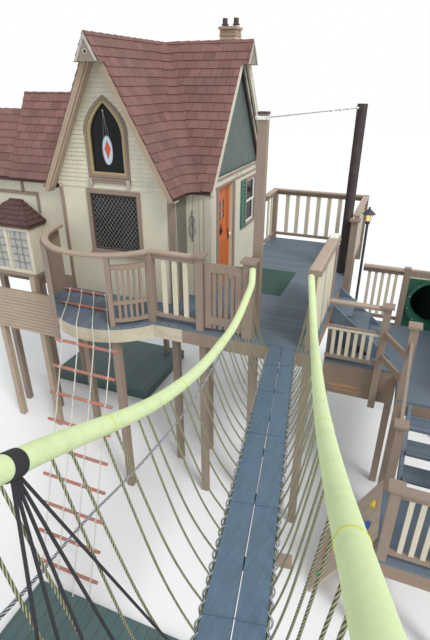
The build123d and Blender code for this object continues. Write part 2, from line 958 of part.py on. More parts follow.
with BuildPart() as chimney:
    with BuildSketch(Plane.YZ.offset(chimney_x0)):
        outline(
            (chimney_y0, ridge_z - ew_slope * (chimney_y0 - ew_ridge_y)),
            (chimney_y1, ridge_z - ew_slope * (chimney_y1 - ew_ridge_y)),
            (chimney_y1, chimney_z1),
            (chimney_y0, chimney_z1),
        )
    extrude(amount=chimney_w)
    with Locations((chimney_x0 + chimney_w / 2, (chimney_y0 + chimney_y1) / 2, chimney_z1)):
        Box(
            chimney_w + 2 * chimney_cap_over,
            chimney_y1 - chimney_y0 + 2 * chimney_cap_over,
            chimney_cap_t,
            align=ON_FLOOR,
        )
        with GridLocations(chimney_w / 2, 1, 2, 1):
            with Locations((0, 0, chimney_cap_t)):
                Cylinder(pot_r, pot_h, align=ON_FLOOR)
                Cylinder(pot_r - pot_wall, pot_h, align=ON_FLOOR, mode=Mode.SUBTRACT)

# Windows: a pane fills the opening, and its casing lies on the wall
with BuildPart() as window_front:
    with BuildSketch(Plane.XZ.offset(-front_y)):
        with Locations(low_middle):
            Rectangle(low_w, low_h)
    extrude(amount=-pane_t)
    with BuildSketch(Plane.XZ.offset(-front_y)):
        with Locations(low_middle):
            Rectangle(low_w + 2 * low_trim_w, low_h + 2 * low_trim_w)
            Rectangle(low_w - 2 * low_trim_lap, low_h - 2 * low_trim_lap, mode=Mode.SUBTRACT)
    extrude(amount=trim_t)

with BuildPart() as window_gothic:
    with BuildSketch(Plane.XZ.offset(-front_y)):
        gothic_arch()
    extrude(amount=-pane_t)
    with BuildSketch(Plane.XZ.offset(-front_y)):
        gothic_arch(trim_w)
        gothic_arch(-trim_w / 2, mode=Mode.SUBTRACT)
    extrude(amount=trim_t)
    apron_x0 = gothic_x0 - trim_w
    apron_x1 = gothic_x1 + trim_w
    apron_z1 = gothic_z0 - trim_w
    block(apron_x0, apron_x1, front_y - apron_t, front_y, apron_z1 - apron_h, apron_z1)
    for x in (apron_x0, apron_x1 - apron_end_w):
        block(x, x + apron_end_w, front_y - apron_end_t, front_y, apron_z1 - apron_end_h, apron_z1)

with BuildPart() as window_east:
    side_w = side_window_y1 - side_window_y0
    side_h = side_window_z1 - side_window_z0
    side_middle = ((side_window_y0 + side_window_y1) / 2, (side_window_z0 + side_window_z1) / 2)
    with BuildSketch(Plane.YZ.offset(east_x)):
        with Locations(side_middle):
            Rectangle(side_w, side_h)
    extrude(amount=-pane_t)
    with BuildSketch(Plane.YZ.offset(east_x)):
        with Locations(side_middle):
            Rectangle(side_w + trim_w, side_h + trim_w)
            Rectangle(side_w - trim_w, side_h - trim_w, mode=Mode.SUBTRACT)
    extrude(amount=trim_t)
    for hinge_y in (
        side_window_y0 - trim_w / 2 - shutter_w,
        side_window_y1 + trim_w / 2,
    ):
        block(
            east_x,
            east_x + trim_t,
            hinge_y,
            hinge_y + shutter_w,
            side_window_z0 - trim_w / 2,
            side_window_z1 + trim_w / 2,
        )

with BuildPart() as door:
    door_x0 = east_x - wall_t
    block(
        door_x0,
        door_x0 + door_t,
        door_y0 + door_gap,
        door_y1 - door_gap,
        deck_z + door_gap,
        gable_beam_z0 - door_gap,
    )
    block(
        door_x0 + door_t - door_recess,
        door_x0 + door_t,
        door_pane_y0,
        door_pane_y1,
        door_pane_z0,
        door_pane_z1,
        mode=Mode.SUBTRACT,
    )
    hinge_x = door_x0 - knuckle_r
    hinge_y = door_y0 + door_gap / 2
    with Locations(*[(hinge_x, hinge_y, z + knuckle_h) for z in door_hinge_zs]):
        Cylinder(knuckle_r, knuckle_h, align=ON_FLOOR)
    with Locations(*[(hinge_x, hinge_y + door_gap / 2, z + knuckle_h) for z in door_hinge_zs]):
        Box(knuckle_r, leaf_w, knuckle_h, align=MINS)
    with BuildSketch(Plane.YZ.offset(door_x0 + door_t)):
        with Locations((door_y1 - knob_in, deck_z + knob_z)):
            Circle(knob_neck_r)
    extrude(amount=knob_neck)
    with Locations((door_x0 + door_t + knob_neck + knob_r / 2, door_y1 - knob_in, deck_z + knob_z)):
        Sphere(knob_r)

# Bay window with its lean-to roof
with BuildPart() as bay_box:
    block(bay_x0, bay_x1, bay_y, wing_front_y, bay_z0, bay_z1)
    block(
        bay_x0 + bay_wall,
        bay_x1 - bay_wall,
        bay_y + bay_wall,
        wing_front_y,
        bay_z0 + bay_wall,
        bay_z1 - bay_wall,
        mode=Mode.SUBTRACT,
    )
    bay_w = bay_x1 - bay_x0
    with BuildSketch(Plane.XZ.offset(-bay_y)):
        with Locations(((bay_x0 + bay_x1) / 2, (bay_z0 + bay_z1) / 2)):
            with GridLocations(bay_w / 2 - bay_wall / 2, 1, 2, 1):
                Rectangle(bay_w / 2 - 2 * bay_wall, bay_z1 - bay_z0 - 2 * trim_w)
    extrude(amount=-bay_recess, mode=Mode.SUBTRACT)

with BuildPart() as bay_roof:
    with BuildSketch(Plane.YZ.offset(bay_x0 - bay_over)):
        outline(
            (bay_y - bay_over, bay_z1),
            (wing_front_y, bay_z1),
            (wing_front_y, bay_z1 + bay_roof_rise),
            (bay_y - bay_over, bay_z1 + board_t),
        )
    extrude(amount=bay_w + 2 * bay_over)
    with BuildSketch(Plane.XZ.offset(-wing_front_y)):
        outline(
            (bay_x0 - bay_over, bay_z1),
            (bay_x1 + bay_over, bay_z1),
            (bay_x1 + bay_over, bay_z1 + board_t),
            (bay_x1 + bay_over - bay_hip_run, bay_z1 + bay_roof_rise),
            (bay_x0 - bay_over + bay_hip_run, bay_z1 + bay_roof_rise),
            (bay_x0 - bay_over, bay_z1 + board_t),
        )
    extrude(amount=wing_front_y - bay_y + bay_over, mode=Mode.INTERSECT)

# Railings and posts that stand on the upper decks
end_post = balcony_point(balcony_rail_r, balcony_end_turn)
rail_post = balcony_point(balcony_rail_r, balcony_post_turn)
under_rail_z = deck_z + rail_h - rail_t

with BuildPart() as newels:
    for (x, y), turn, width in (
        (end_post, 0, post_w - 2 * seat),
        (rail_post, balcony_post_turn, slim_post_w),
    ):
        with Locations(Location((x, y, deck_z), (0, 0, turn))):
            Box(width, width, rail_h - rail_t, align=ON_FLOOR)
    capped_post(gate_post_x, rail_y, deck_z, deck_z + rail_h + cap_t, post_w)
    capped_post(newel_x, newel_y, deck_z, deck_z + rail_h + cap_t)
    capped_post(side_rail_x, side_post_y, landing_z, side_post_top, post_w)
    for x, z in ((side_rail_x, beam_z), (east_x + half_post, deck_z)):
        with Locations((x, back_rail_y, z)):
            Box(post_w, post_w, deck_z + rail_h - z, align=ON_FLOOR)
    with Locations((parapet_x, parapet_y1 + half_post, deck_z)):
        Box(post_w, post_w, rail_h + cap_t, align=ON_FLOOR)
    stair_post = (stair_x0 + half_post, stair_y + half_post)
    foot_post = (foot_x0 + half_post, foot_y1 - half_post)
    capped_post(landing_post_x, landing_post_y, landing_post_z0, landing_post_z1, post_w)
    capped_post(*stair_post, landing_z, stair_post_z1, post_w)
    for z in corner_rail_zs:
        plank((landing_post_x, landing_post_y, z), (*stair_post, z), rail_t, corner_rail_h)
    plank((*stair_post, hand_rail_z0), (*foot_post, hand_rail_z1), rail_t, corner_rail_h)
    capped_post(landing_x1 - half_post, stair_y + half_post, landing_z, landing_z + rail_h, post_w)
    capped_post(landing_x1 - half_post, landing_y1 - half_post, landing_z, landing_z + rail_h + 3 * cap_t, post_w)
    with Locations((slide_panel_x0 - half_post - seat, landing_y1 - half_post, landing_z)):
        Box(post_w, post_w, rail_h + cap_t, align=ON_FLOOR)
    capped_post(foot_x0 + half_post, foot_y0 + half_post, foot_z, foot_z + rail_h + cap_t, post_w)
    capped_post(landing_x1 - half_post, foot_y0 + half_post, foot_z, foot_z + rail_h + cap_t, post_w)
    capped_post(*foot_post, foot_z, foot_z + rail_h + cap_t, post_w)

with BuildPart() as rail_balcony:
    with BuildSketch(Plane.XY.offset(under_rail_z)):
        ring_piece(balcony_rail_r, rail_w, 180, balcony_end_turn)
        with Locations(end_post):
            Rectangle(
                gate_post_x - half_post - end_post[0],
                rail_w,
                align=(Align.MIN, Align.CENTER),
            )
    extrude(amount=rail_t)
    post_half_turn = degrees(atan((half_post + 1) / balcony_rail_r))
    slim_half_turn = degrees(atan((slim_post_w / 2 + 1) / balcony_rail_r))
    inner_turn0 = balcony_post_turn + slim_half_turn
    inner_turn1 = balcony_end_turn - end_post_turns * post_half_turn
    for z0, height in (
        (low_rail_gap, bottom_rail_h),
        (middle_rail_z, bottom_rail_h),
        (sub_rail_z, sub_rail_h),
    ):
        with BuildSketch(Plane.XY.offset(deck_z + z0)):
            ring_piece(balcony_rail_r, joist_w, inner_turn0, inner_turn1)
        extrude(amount=height)
    turn_step = (inner_turn1 - inner_turn0) / (balcony_bars + 1)
    for i in range(balcony_bars):
        turn = inner_turn0 + (i + 1) * turn_step
        x, y = balcony_point(balcony_rail_r, turn)
        with Locations(Location((x, y, deck_z + low_rail_gap), (0, 0, turn))):
            Box(slim_bar_w, slim_bar_w, sub_rail_z - low_rail_gap, align=ON_FLOOR)

with BuildPart() as balcony_boards:
    board_step = (balcony_wall_turn - 180) / cladding_count
    for i in range(cladding_count):
        turn = 180 + (i + 0.5) * board_step
        x, y = balcony_point(balcony_r + seat + cladding_t / 2, turn)
        with Locations(Location((x, y, balcony_skirt_z), (0, 0, turn))):
            Box(cladding_t, cladding_w, under_rail_z - balcony_skirt_z, align=ON_FLOOR)

with BuildPart() as rails_deck:
    wide = {"bar_w": wide_bar_w, "pitch": wide_bar_pitch}
    railing(
        end_post[0] + half_post,
        rail_y,
        gate_post_x - half_post,
        rail_y,
        deck_z,
        cap=False,
        bar_w=front_bar_w,
        pitch=front_bar_pitch,
    )
    railing(side_rail_x, side_post_y + half_post + cap_over, side_rail_x, back_rail_y - half_post, deck_z, **wide)
    railing(east_x + post_w, back_rail_y, side_rail_x - half_post, back_rail_y, deck_z, **wide)
    railing(east_x + half_post, back_rake_y, east_x + half_post, back_rail_y - half_post, deck_z, **wide)

with BuildPart() as parapet:
    parapet_y0 = newel_front_y
    block(
        parapet_x - parapet_t / 2,
        parapet_x + parapet_t / 2,
        parapet_y0,
        parapet_y1,
        deck_z,
        under_rail_z,
    )
    with BuildSketch(Plane.XZ.offset(-parapet_y0)):
        with Locations((parapet_x, under_rail_z)):
            Rectangle(parapet_cap_w, 2 * rail_t, align=(Align.CENTER, Align.MIN))
    extrude(amount=parapet_y0 - parapet_y1)
    fillet(parapet.edges().filter_by(Axis.Y).group_by(Axis.Z)[-1], rail_t)

with BuildPart() as gate:
    gate_x0 = gate_post_x + half_post + gate_gap
    gate_x1 = newel_x - newel_w / 2 - gate_gap / 2
    gate_w = gate_x1 - gate_x0
    gate_y0 = rail_y - gate_t / 2
    for x in (gate_x0, gate_x1 - gate_stile):
        block(x, x + gate_stile, gate_y0, gate_y0 + gate_t, gate_z0, gate_z1)
    for z in (gate_z0 + gate_low, gate_z1 - gate_rail):
        block(gate_x0, gate_x1, gate_y0, gate_y0 + gate_t, z, z + gate_rail)
    with Locations((gate_x0 + gate_w / 2, rail_y, gate_z0)):
        with GridLocations((gate_w - gate_stile) / (gate_slats + 1), 1, gate_slats, 1):
            Box(gate_slat_w, gate_slat_t, gate_z1 - gate_z0 - gate_rail / 2, align=ON_FLOOR)
    gate_hinge_x = gate_post_x + half_post + knuckle_r
    gate_hinge_y = gate_y0 + gate_t + knuckle_r
    with Locations(*[(gate_hinge_x, gate_hinge_y, z + knuckle_h) for z in gate_hinge_zs]):
        Cylinder(knuckle_r, knuckle_h, align=ON_FLOOR)
    with Locations(*[(gate_hinge_x, gate_hinge_y - knuckle_r, z + knuckle_h) for z in gate_hinge_zs]):
        Box(leaf_w, knuckle_r, knuckle_h, align=MINS)

with BuildPart() as hinges:
    with Locations(*[(gate_hinge_x, gate_hinge_y, z) for z in gate_hinge_zs]):
        Cylinder(knuckle_r, knuckle_h, align=ON_FLOOR)
    with Locations(*[(gate_hinge_x - knuckle_r, gate_hinge_y, z) for z in gate_hinge_zs]):
        Box(knuckle_r, gate_leaf_w, knuckle_h, align=MINS)
    with Locations(*[(hinge_x, hinge_y, z) for z in door_hinge_zs]):
        Cylinder(knuckle_r, knuckle_h, align=ON_FLOOR)
    with Locations(*[(hinge_x, hinge_y - leaf_w, z) for z in door_hinge_zs]):
        Box(knuckle_r, leaf_w, knuckle_h, align=MINS)

with BuildPart() as cable_top:
    cable_z = tall_post_top - cable_drop
    reach = hypot(pole_x, pole_y)
    start = (half_post + 2) / pole_y
    end = 1 - (pole_d / 2 + seat) / reach
    bar(
        (pole_x * start, pole_y * start, cable_z),
        (pole_x * end, pole_y * end, cable_z),
        cable_d,
    )

# Plank bridge with rope sides
run_x = sin(radians(bridge_turn))
run_y = -cos(radians(bridge_turn))
side_x = cos(radians(bridge_turn))
side_y = sin(radians(bridge_turn))
climb = bridge_rise / bridge_len


def bridge_point(along, across, above=0):
    """Gives the point at a length and a width on the bridge's walking plane."""
    return (
        bridge_x0 + along * run_x + across * side_x,
        deck_front_y + along * run_y + across * side_y,
        deck_z + along * climb + above,
    )


with BuildPart() as bridge_planks:
    walk_w = 2 * plank_w + plank_gap
    for side in (-1, 1):
        across = side * (plank_w + plank_gap) / 2
        plank(bridge_point(-plank_w, across), bridge_point(bridge_len, across), plank_w, plank_t)
    for i in range(batten_count):
        along = batten_w + (bridge_len - 2 * batten_w) * i / (batten_count - 1)
        plank(
            bridge_point(along, 0, -plank_t),
            bridge_point(along + batten_w, 0, -plank_t),
            walk_w,
            batten_t,
        )
    block(-deck_side_x, deck_side_x, deck_front_y, front_y, boards_z - joist_h, deck_z + joist_h, mode=Mode.SUBTRACT)

left_route = soft_route(left_grip)
right_route = soft_route(right_grip)

with BuildPart() as handrails:
    rope(left_route, grip_d)
    rope(right_route, grip_d)
    block(
        -deck_side_x,
        deck_side_x,
        newel_front_y - seat,
        front_y,
        deck_z,
        tall_post_top,
        mode=Mode.SUBTRACT,
    )
    with BuildSketch(Plane(origin=bridge_point(bridge_len - seat, 0), z_dir=(run_x, run_y, 0))) as far_end:
        Rectangle(2 * bridge_len, 2 * bridge_len)
    extrude(far_end.sketch, amount=bridge_len, mode=Mode.SUBTRACT)

with BuildPart() as nets:
    edge_x = walk_w / 2 + rope_d / 2 + seat
    for route, across in ((left_route, -edge_x), (right_route, edge_x)):
        bar(
            bridge_point(rope_start, across, -plank_t / 2),
            bridge_point(rope_end, across, -plank_t / 2),
            rope_d,
        )
        for i in range(rope_count):
            along = rope_start + rope_d + (rope_end - rope_start - 2 * rope_d) * i / (rope_count - 1)
            foot = Vector(*bridge_point(along, across, -plank_t / 2))
            share = on_route(route, foot.Y)
            lift = route @ share - foot
            slant = radians(lift.get_angle(route % share))
            inside = (grip_d / 2 + rope_clear + rope_d / 2 * abs(cos(slant))) / sin(slant)
            bar(tuple(foot), tuple(foot + lift * (1 - inside / lift.length)), rope_d)

with BuildPart() as bridge_end:
    end_low_z = deck_z + bridge_rise - plank_t - batten_t - end_gap
    end_x, end_y, _ = bridge_point(bridge_len, 0)
    end_ground = Plane(origin=(end_x, end_y, 0), x_dir=(side_x, side_y, 0), z_dir=(0, 0, 1))
    with BuildSketch(end_ground):
        with Locations((end_post_left, -end_post_w / 2), (end_post_right, -end_post_w / 2)):
            Rectangle(end_post_w, end_post_w)
    extrude(amount=end_post_top)
    with BuildSketch(end_ground.offset(end_low_z)):
        with Locations(((end_post_left + end_post_right) / 2, 0)):
            Rectangle(end_post_right - end_post_left, end_post_w)
    extrude(amount=-joist_h)

# Rope ladder that starts on the balcony floor and hangs over its edge
with BuildPart() as rope_ladder:
    floor_rung_z = deck_z + seat + rung_d / 2
    edge_x0, edge_x1, edge_y = ladder_edge
    knee_x0, knee_x1, knee_y, knee_z = ladder_knee
    foot_x0_rope, foot_x1_rope, foot_y_rope, foot_z_rope = ladder_foot
    stations = [(x0, x1, y, floor_rung_z) for x0, x1, y in ladder_floor_rungs]
    stations += [
        (edge_x0, edge_x1, edge_y, floor_rung_z),
        (knee_x0, knee_x1, knee_y, knee_z),
        (foot_x0_rope, foot_x1_rope, foot_y_rope, foot_z_rope),
    ]
    for share in ladder_shares:
        knots = [(x0 + share * (x1 - x0), y, z) for x0, x1, y, z in stations]
        for p0, p1 in zip(knots, knots[1:]):
            bar(p0, p1, rope_d)
    for x0, x1, y in ladder_floor_rungs:
        bar((x0, y, floor_rung_z), (x1, y, floor_rung_z), rung_d)
    for i in range(ladder_rungs):
        share = i * ladder_pitch / (knee_z - foot_z_rope)
        x0 = knee_x0 + share * (foot_x0_rope - knee_x0)
        x1 = knee_x1 + share * (foot_x1_rope - knee_x1)
        y = knee_y + share * (foot_y_rope - knee_y)
        z = knee_z + share * (foot_z_rope - knee_z)
        bar((x0, y, z), (x1, y, z), rung_d)

# Slatted skirt under the bay, and decks near the ground
with BuildPart() as skirt_wing:
    block(skirt_x0, skirt_x1, skirt_y - joist_w, skirt_y, skirt_z1 - skirt_rail_h, skirt_z1)
    slat_pitch = (skirt_z1 - skirt_rail_h - skirt_z0) / skirt_slats
    for i in range(skirt_slats):
        z = skirt_z0 + i * slat_pitch
        block(skirt_x0, skirt_x1, skirt_y - board_t, skirt_y, z, z + skirt_share * slat_pitch)
    for x in (bay_x0, bay_x1 - post_w):
        block(x, x + post_w, skirt_y, skirt_y + post_w, 0, bay_z0)

with BuildPart() as ground_decks:
    block(porch_x0, porch_x1, porch_y0, porch_y1, 0, porch_z)
    with Locations(*[(x, y, 0) for x, y in cabin_spots]):
        Box(post_w, post_w, porch_z, align=ON_FLOOR, mode=Mode.SUBTRACT)
    block(low_deck_x0, low_deck_x1, low_deck_y0, low_deck_y1, 0, low_deck_z)

# Landing beside the deck, and the lower platform
with BuildPart() as landing:
    with BuildSketch(Plane.XY.offset(landing_z - board_t)):
        outline(
            (deck_side_x, landing_y0),
            (stair_x0, landing_y0),
            (stair_x0, stair_y),
            (landing_x1, stair_y),
            (landing_x1, landing_y1),
            (deck_side_x, landing_y1),
        )
    extrude(amount=board_t)
    floor_frame(deck_side_x, stair_x0, landing_y0, landing_y1, landing_z - board_t)
    block(deck_side_x, stair_x0, landing_y0, landing_y0 + joist_w, landing_rim_z, landing_beam_z - seat)
    floor_frame(stair_x0, landing_x1, stair_y, landing_y1, landing_z - board_t)

with BuildPart() as low_platform:
    block(foot_x0, landing_x1, foot_y0, foot_y1, foot_z - board_t, foot_z)
    floor_frame(foot_x0, landing_x1, foot_y0, foot_y1, foot_z - board_t)

with BuildPart() as stairs:
    flight(Location((deck_side_x, steps_y0, deck_z)), steps_y1 - steps_y0, deck_z - landing_z)
    flight(
        Location((tread_x0, stair_y, landing_z), (0, 0, -90)),
        landing_x1 - post_w - tread_x0,
        landing_z - foot_z,
    )

with BuildPart() as rails_low:
    low_cap = rail_h - cap_over
    railing(
        deck_side_x,
        landing_post_y,
        landing_post_x - half_post,
        landing_post_y,
        landing_z,
        height=landing_low_rail_h,
        cap=False,
    )
    block(
        deck_side_x + seat,
        landing_post_x - half_post - seat,
        landing_post_y - half_post,
        landing_post_y + half_post,
        landing_top_rail_z,
        landing_top_rail_z + rail_t,
    )
    railing(landing_x1 - half_post, stair_y + post_w, landing_x1 - half_post, landing_y1 - post_w, landing_z, low_cap)
    railing(foot_x0 + post_w, foot_y0 + half_post, landing_x1 - post_w, foot_y0 + half_post, foot_z, rail_h)
    railing(landing_x1 - half_post, foot_y0 + post_w, landing_x1 - half_post, foot_y1, foot_z, rail_h)
    railing(
        deck_side_x + lamp_in + lamp_base_r,
        landing_y1 - half_post,
        slide_panel_x0 - post_w,
        landing_y1 - half_post,
        landing_z,
    )
    block(
        slide_panel_x0,
        landing_x1 - post_w,
        landing_y1 - slide_panel_t,
        landing_y1,
        landing_z + slide_panel_h,
        landing_z + rail_h,
    )

with BuildPart() as climb_ramp:
    with BuildSketch(Plane.XZ.offset(-ramp_y1)):
        outline(
            (foot_x0, foot_z),
            (foot_x0, foot_z - ramp_t),
            (ramp_foot_x + ramp_t, 0),
            (ramp_foot_x, 0),
        )
    extrude(amount=ramp_y1 - ramp_y0, dir=(0, -1, 0))

# Tube slide behind its panel
with BuildPart() as slide_panel:
    with BuildSketch(Plane.XZ.offset(-(landing_y1 - slide_panel_t))):
        with Locations((slide_panel_x0, landing_z)):
            Rectangle(landing_x1 - post_w - slide_panel_x0, slide_panel_h, align=(Align.MIN, Align.MIN))
        with Locations((slide_x, slide_z)):
            Circle(slide_r, mode=Mode.SUBTRACT)
    extrude(amount=-slide_panel_t)
    with BuildSketch(Plane.XZ.offset(-(landing_y1 - slide_panel_t))):
        with Locations((slide_x, slide_z)):
            Circle(slide_r + slide_ring_w)
            Circle(slide_r, mode=Mode.SUBTRACT)
    extrude(amount=slide_panel_t)

with BuildPart() as slide_tube:
    slide_path_points = [
        (slide_x, landing_y1, slide_z),
        (slide_x, landing_y1 + slide_flat, slide_z),
        (slide_x, slide_end_y - 2 * slide_flat, slide_r),
        (slide_x, slide_end_y, slide_r),
    ]
    with BuildLine() as slide_path:
        FilletPolyline(*slide_path_points, radius=slide_bend)
    with BuildSketch(Plane(origin=slide_path.line @ 0, z_dir=slide_path.line % 0)):
        Circle(slide_r)
        Circle(slide_r - slide_t, mode=Mode.SUBTRACT)
    sweep()

with BuildPart() as lamp_post:
    with Locations((deck_side_x + lamp_in, landing_y1 - half_post, landing_z)):
        Cylinder(lamp_base_r, lamp_base_h, align=ON_FLOOR)
        Cylinder(lamp_r, lamp_h, align=ON_FLOOR)
        with Locations((0, 0, lamp_h)):
            Cone(lamp_r, lamp_head_r, lamp_head_h, align=ON_FLOOR)
        with Locations((0, 0, lamp_h + lamp_head_h)):
            Cone(lamp_head_r + cap_t, lamp_r, lamp_head_h / 2, align=ON_FLOOR)

pieces = {
    "floor_side": floor_side,
    "floor_front": floor_front,
    "floor_cabin": floor_cabin,
    "frame_side": frame_side,
    "frame_cabin": frame_cabin,
    "frame_front": frame_front,
    "posts_cabin": posts_cabin,
    "posts_deck": posts_deck,
    "tall_post": tall_post,
    "back_pole": back_pole,
    "wall_front": wall_front,
    "wall_return": wall_return,
    "wall_west": wall_west,
    "wall_back": wall_back,
    "wall_east_south": wall_east_south,
    "wall_east_north": wall_east_north,
    "gable_east": gable_east,
    "wing_front": wing_front,
    "wing_back": wing_back,
    "wing_gables": wing_gables,
    "roof_west": roof_west,
    "roof_front_east": roof_front_east,
    "roof_back_east": roof_back_east,
    "roof_east_front": roof_east_front,
    "roof_east_back": roof_east_back,
    "roof_wing": roof_wing,
    "barge_front": barge_front,
    "barge_east": barge_east,
    "prows": prows,
    "chimney": chimney,
    "window_front": window_front,
    "window_gothic": window_gothic,
    "window_east": window_east,
    "door": door,
    "bay_box": bay_box,
    "bay_roof": bay_roof,
    "newels": newels,
    "rail_balcony": rail_balcony,
    "balcony_boards": balcony_boards,
    "rails_deck": rails_deck,
    "parapet": parapet,
    "gate": gate,
    "hinges": hinges,
    "cable_top": cable_top,
    "bridge_planks": bridge_planks,
    "handrails": handrails,
    "nets": nets,
    "bridge_end": bridge_end,
    "rope_ladder": rope_ladder,
    "skirt_wing": skirt_wing,
    "ground_decks": ground_decks,
    "landing": landing,
    "low_platform": low_platform,
    "stairs": stairs,
    "rails_low": rails_low,
    "climb_ramp": climb_ramp,
    "slide_panel": slide_panel,
    "slide_tube": slide_tube,
    "lamp_post": lamp_post,
}
for name, piece in pieces.items():
    piece.part.label = name
    export_step(piece.part, f"parts/{name}.step")
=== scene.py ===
"""Dresses the timber tree house: shingles, boards, glass, ropes, paint and light."""

from __future__ import annotations

import json
import logging
import math
import random
from contextlib import contextmanager
from dataclasses import dataclass
from enum import Enum
from functools import cache
from typing import Iterator, Sequence

import bpy
from mathutils import Matrix, Vector

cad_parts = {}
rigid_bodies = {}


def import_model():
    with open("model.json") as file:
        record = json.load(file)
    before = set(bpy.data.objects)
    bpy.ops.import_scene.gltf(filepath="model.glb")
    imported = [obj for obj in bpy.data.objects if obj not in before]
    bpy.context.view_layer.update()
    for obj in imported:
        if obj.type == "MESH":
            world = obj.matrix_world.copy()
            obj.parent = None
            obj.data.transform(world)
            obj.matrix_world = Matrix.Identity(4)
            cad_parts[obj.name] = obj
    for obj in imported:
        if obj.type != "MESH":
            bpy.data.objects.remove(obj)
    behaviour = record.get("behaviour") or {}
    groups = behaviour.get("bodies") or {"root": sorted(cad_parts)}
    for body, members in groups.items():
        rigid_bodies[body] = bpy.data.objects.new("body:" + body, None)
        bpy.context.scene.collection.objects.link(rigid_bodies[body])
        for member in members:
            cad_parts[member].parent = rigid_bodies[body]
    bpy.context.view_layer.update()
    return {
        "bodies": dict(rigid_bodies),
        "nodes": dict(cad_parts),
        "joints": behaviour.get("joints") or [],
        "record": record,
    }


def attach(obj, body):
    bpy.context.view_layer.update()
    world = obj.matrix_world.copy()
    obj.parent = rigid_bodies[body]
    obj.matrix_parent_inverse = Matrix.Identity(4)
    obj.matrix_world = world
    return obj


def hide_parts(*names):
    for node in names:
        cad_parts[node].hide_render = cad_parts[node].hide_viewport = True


LOG = logging.getLogger("tree_house")
Point = tuple[float, float, float]
Pair = tuple[float, float]
Colour = tuple[float, float, float]
Region = tuple[Point, Point]
Rectangle = tuple[float, float, float, float]
Object = bpy.types.Object
Socket = bpy.types.NodeSocket
Tree = bpy.types.NodeTree
Value = float | Sequence[float] | Socket
Inputs = dict[str | int, Value]
HOUSE = "house"
DOOR = "door_leaf"
SOCKETS = {1: "NodeSocketFloat", 3: "NodeSocketVector", 4: "NodeSocketColor"}
QUARTER = math.radians(90.0)
ALONG_X = Matrix.Rotation(QUARTER, 4, "Y")
ALONG_Y = Matrix.Rotation(QUARTER, 4, "X")


class Axis(Enum):
    """A direction: of a grain, across seams or through a board."""

    X = 0
    Y = 1
    Z = 2

    def stretch(self, along: float, across: float) -> list[float]:
        """Gives a vector with one value along this axis."""
        return [along if axis is self else across for axis in Axis]


# Shader trees


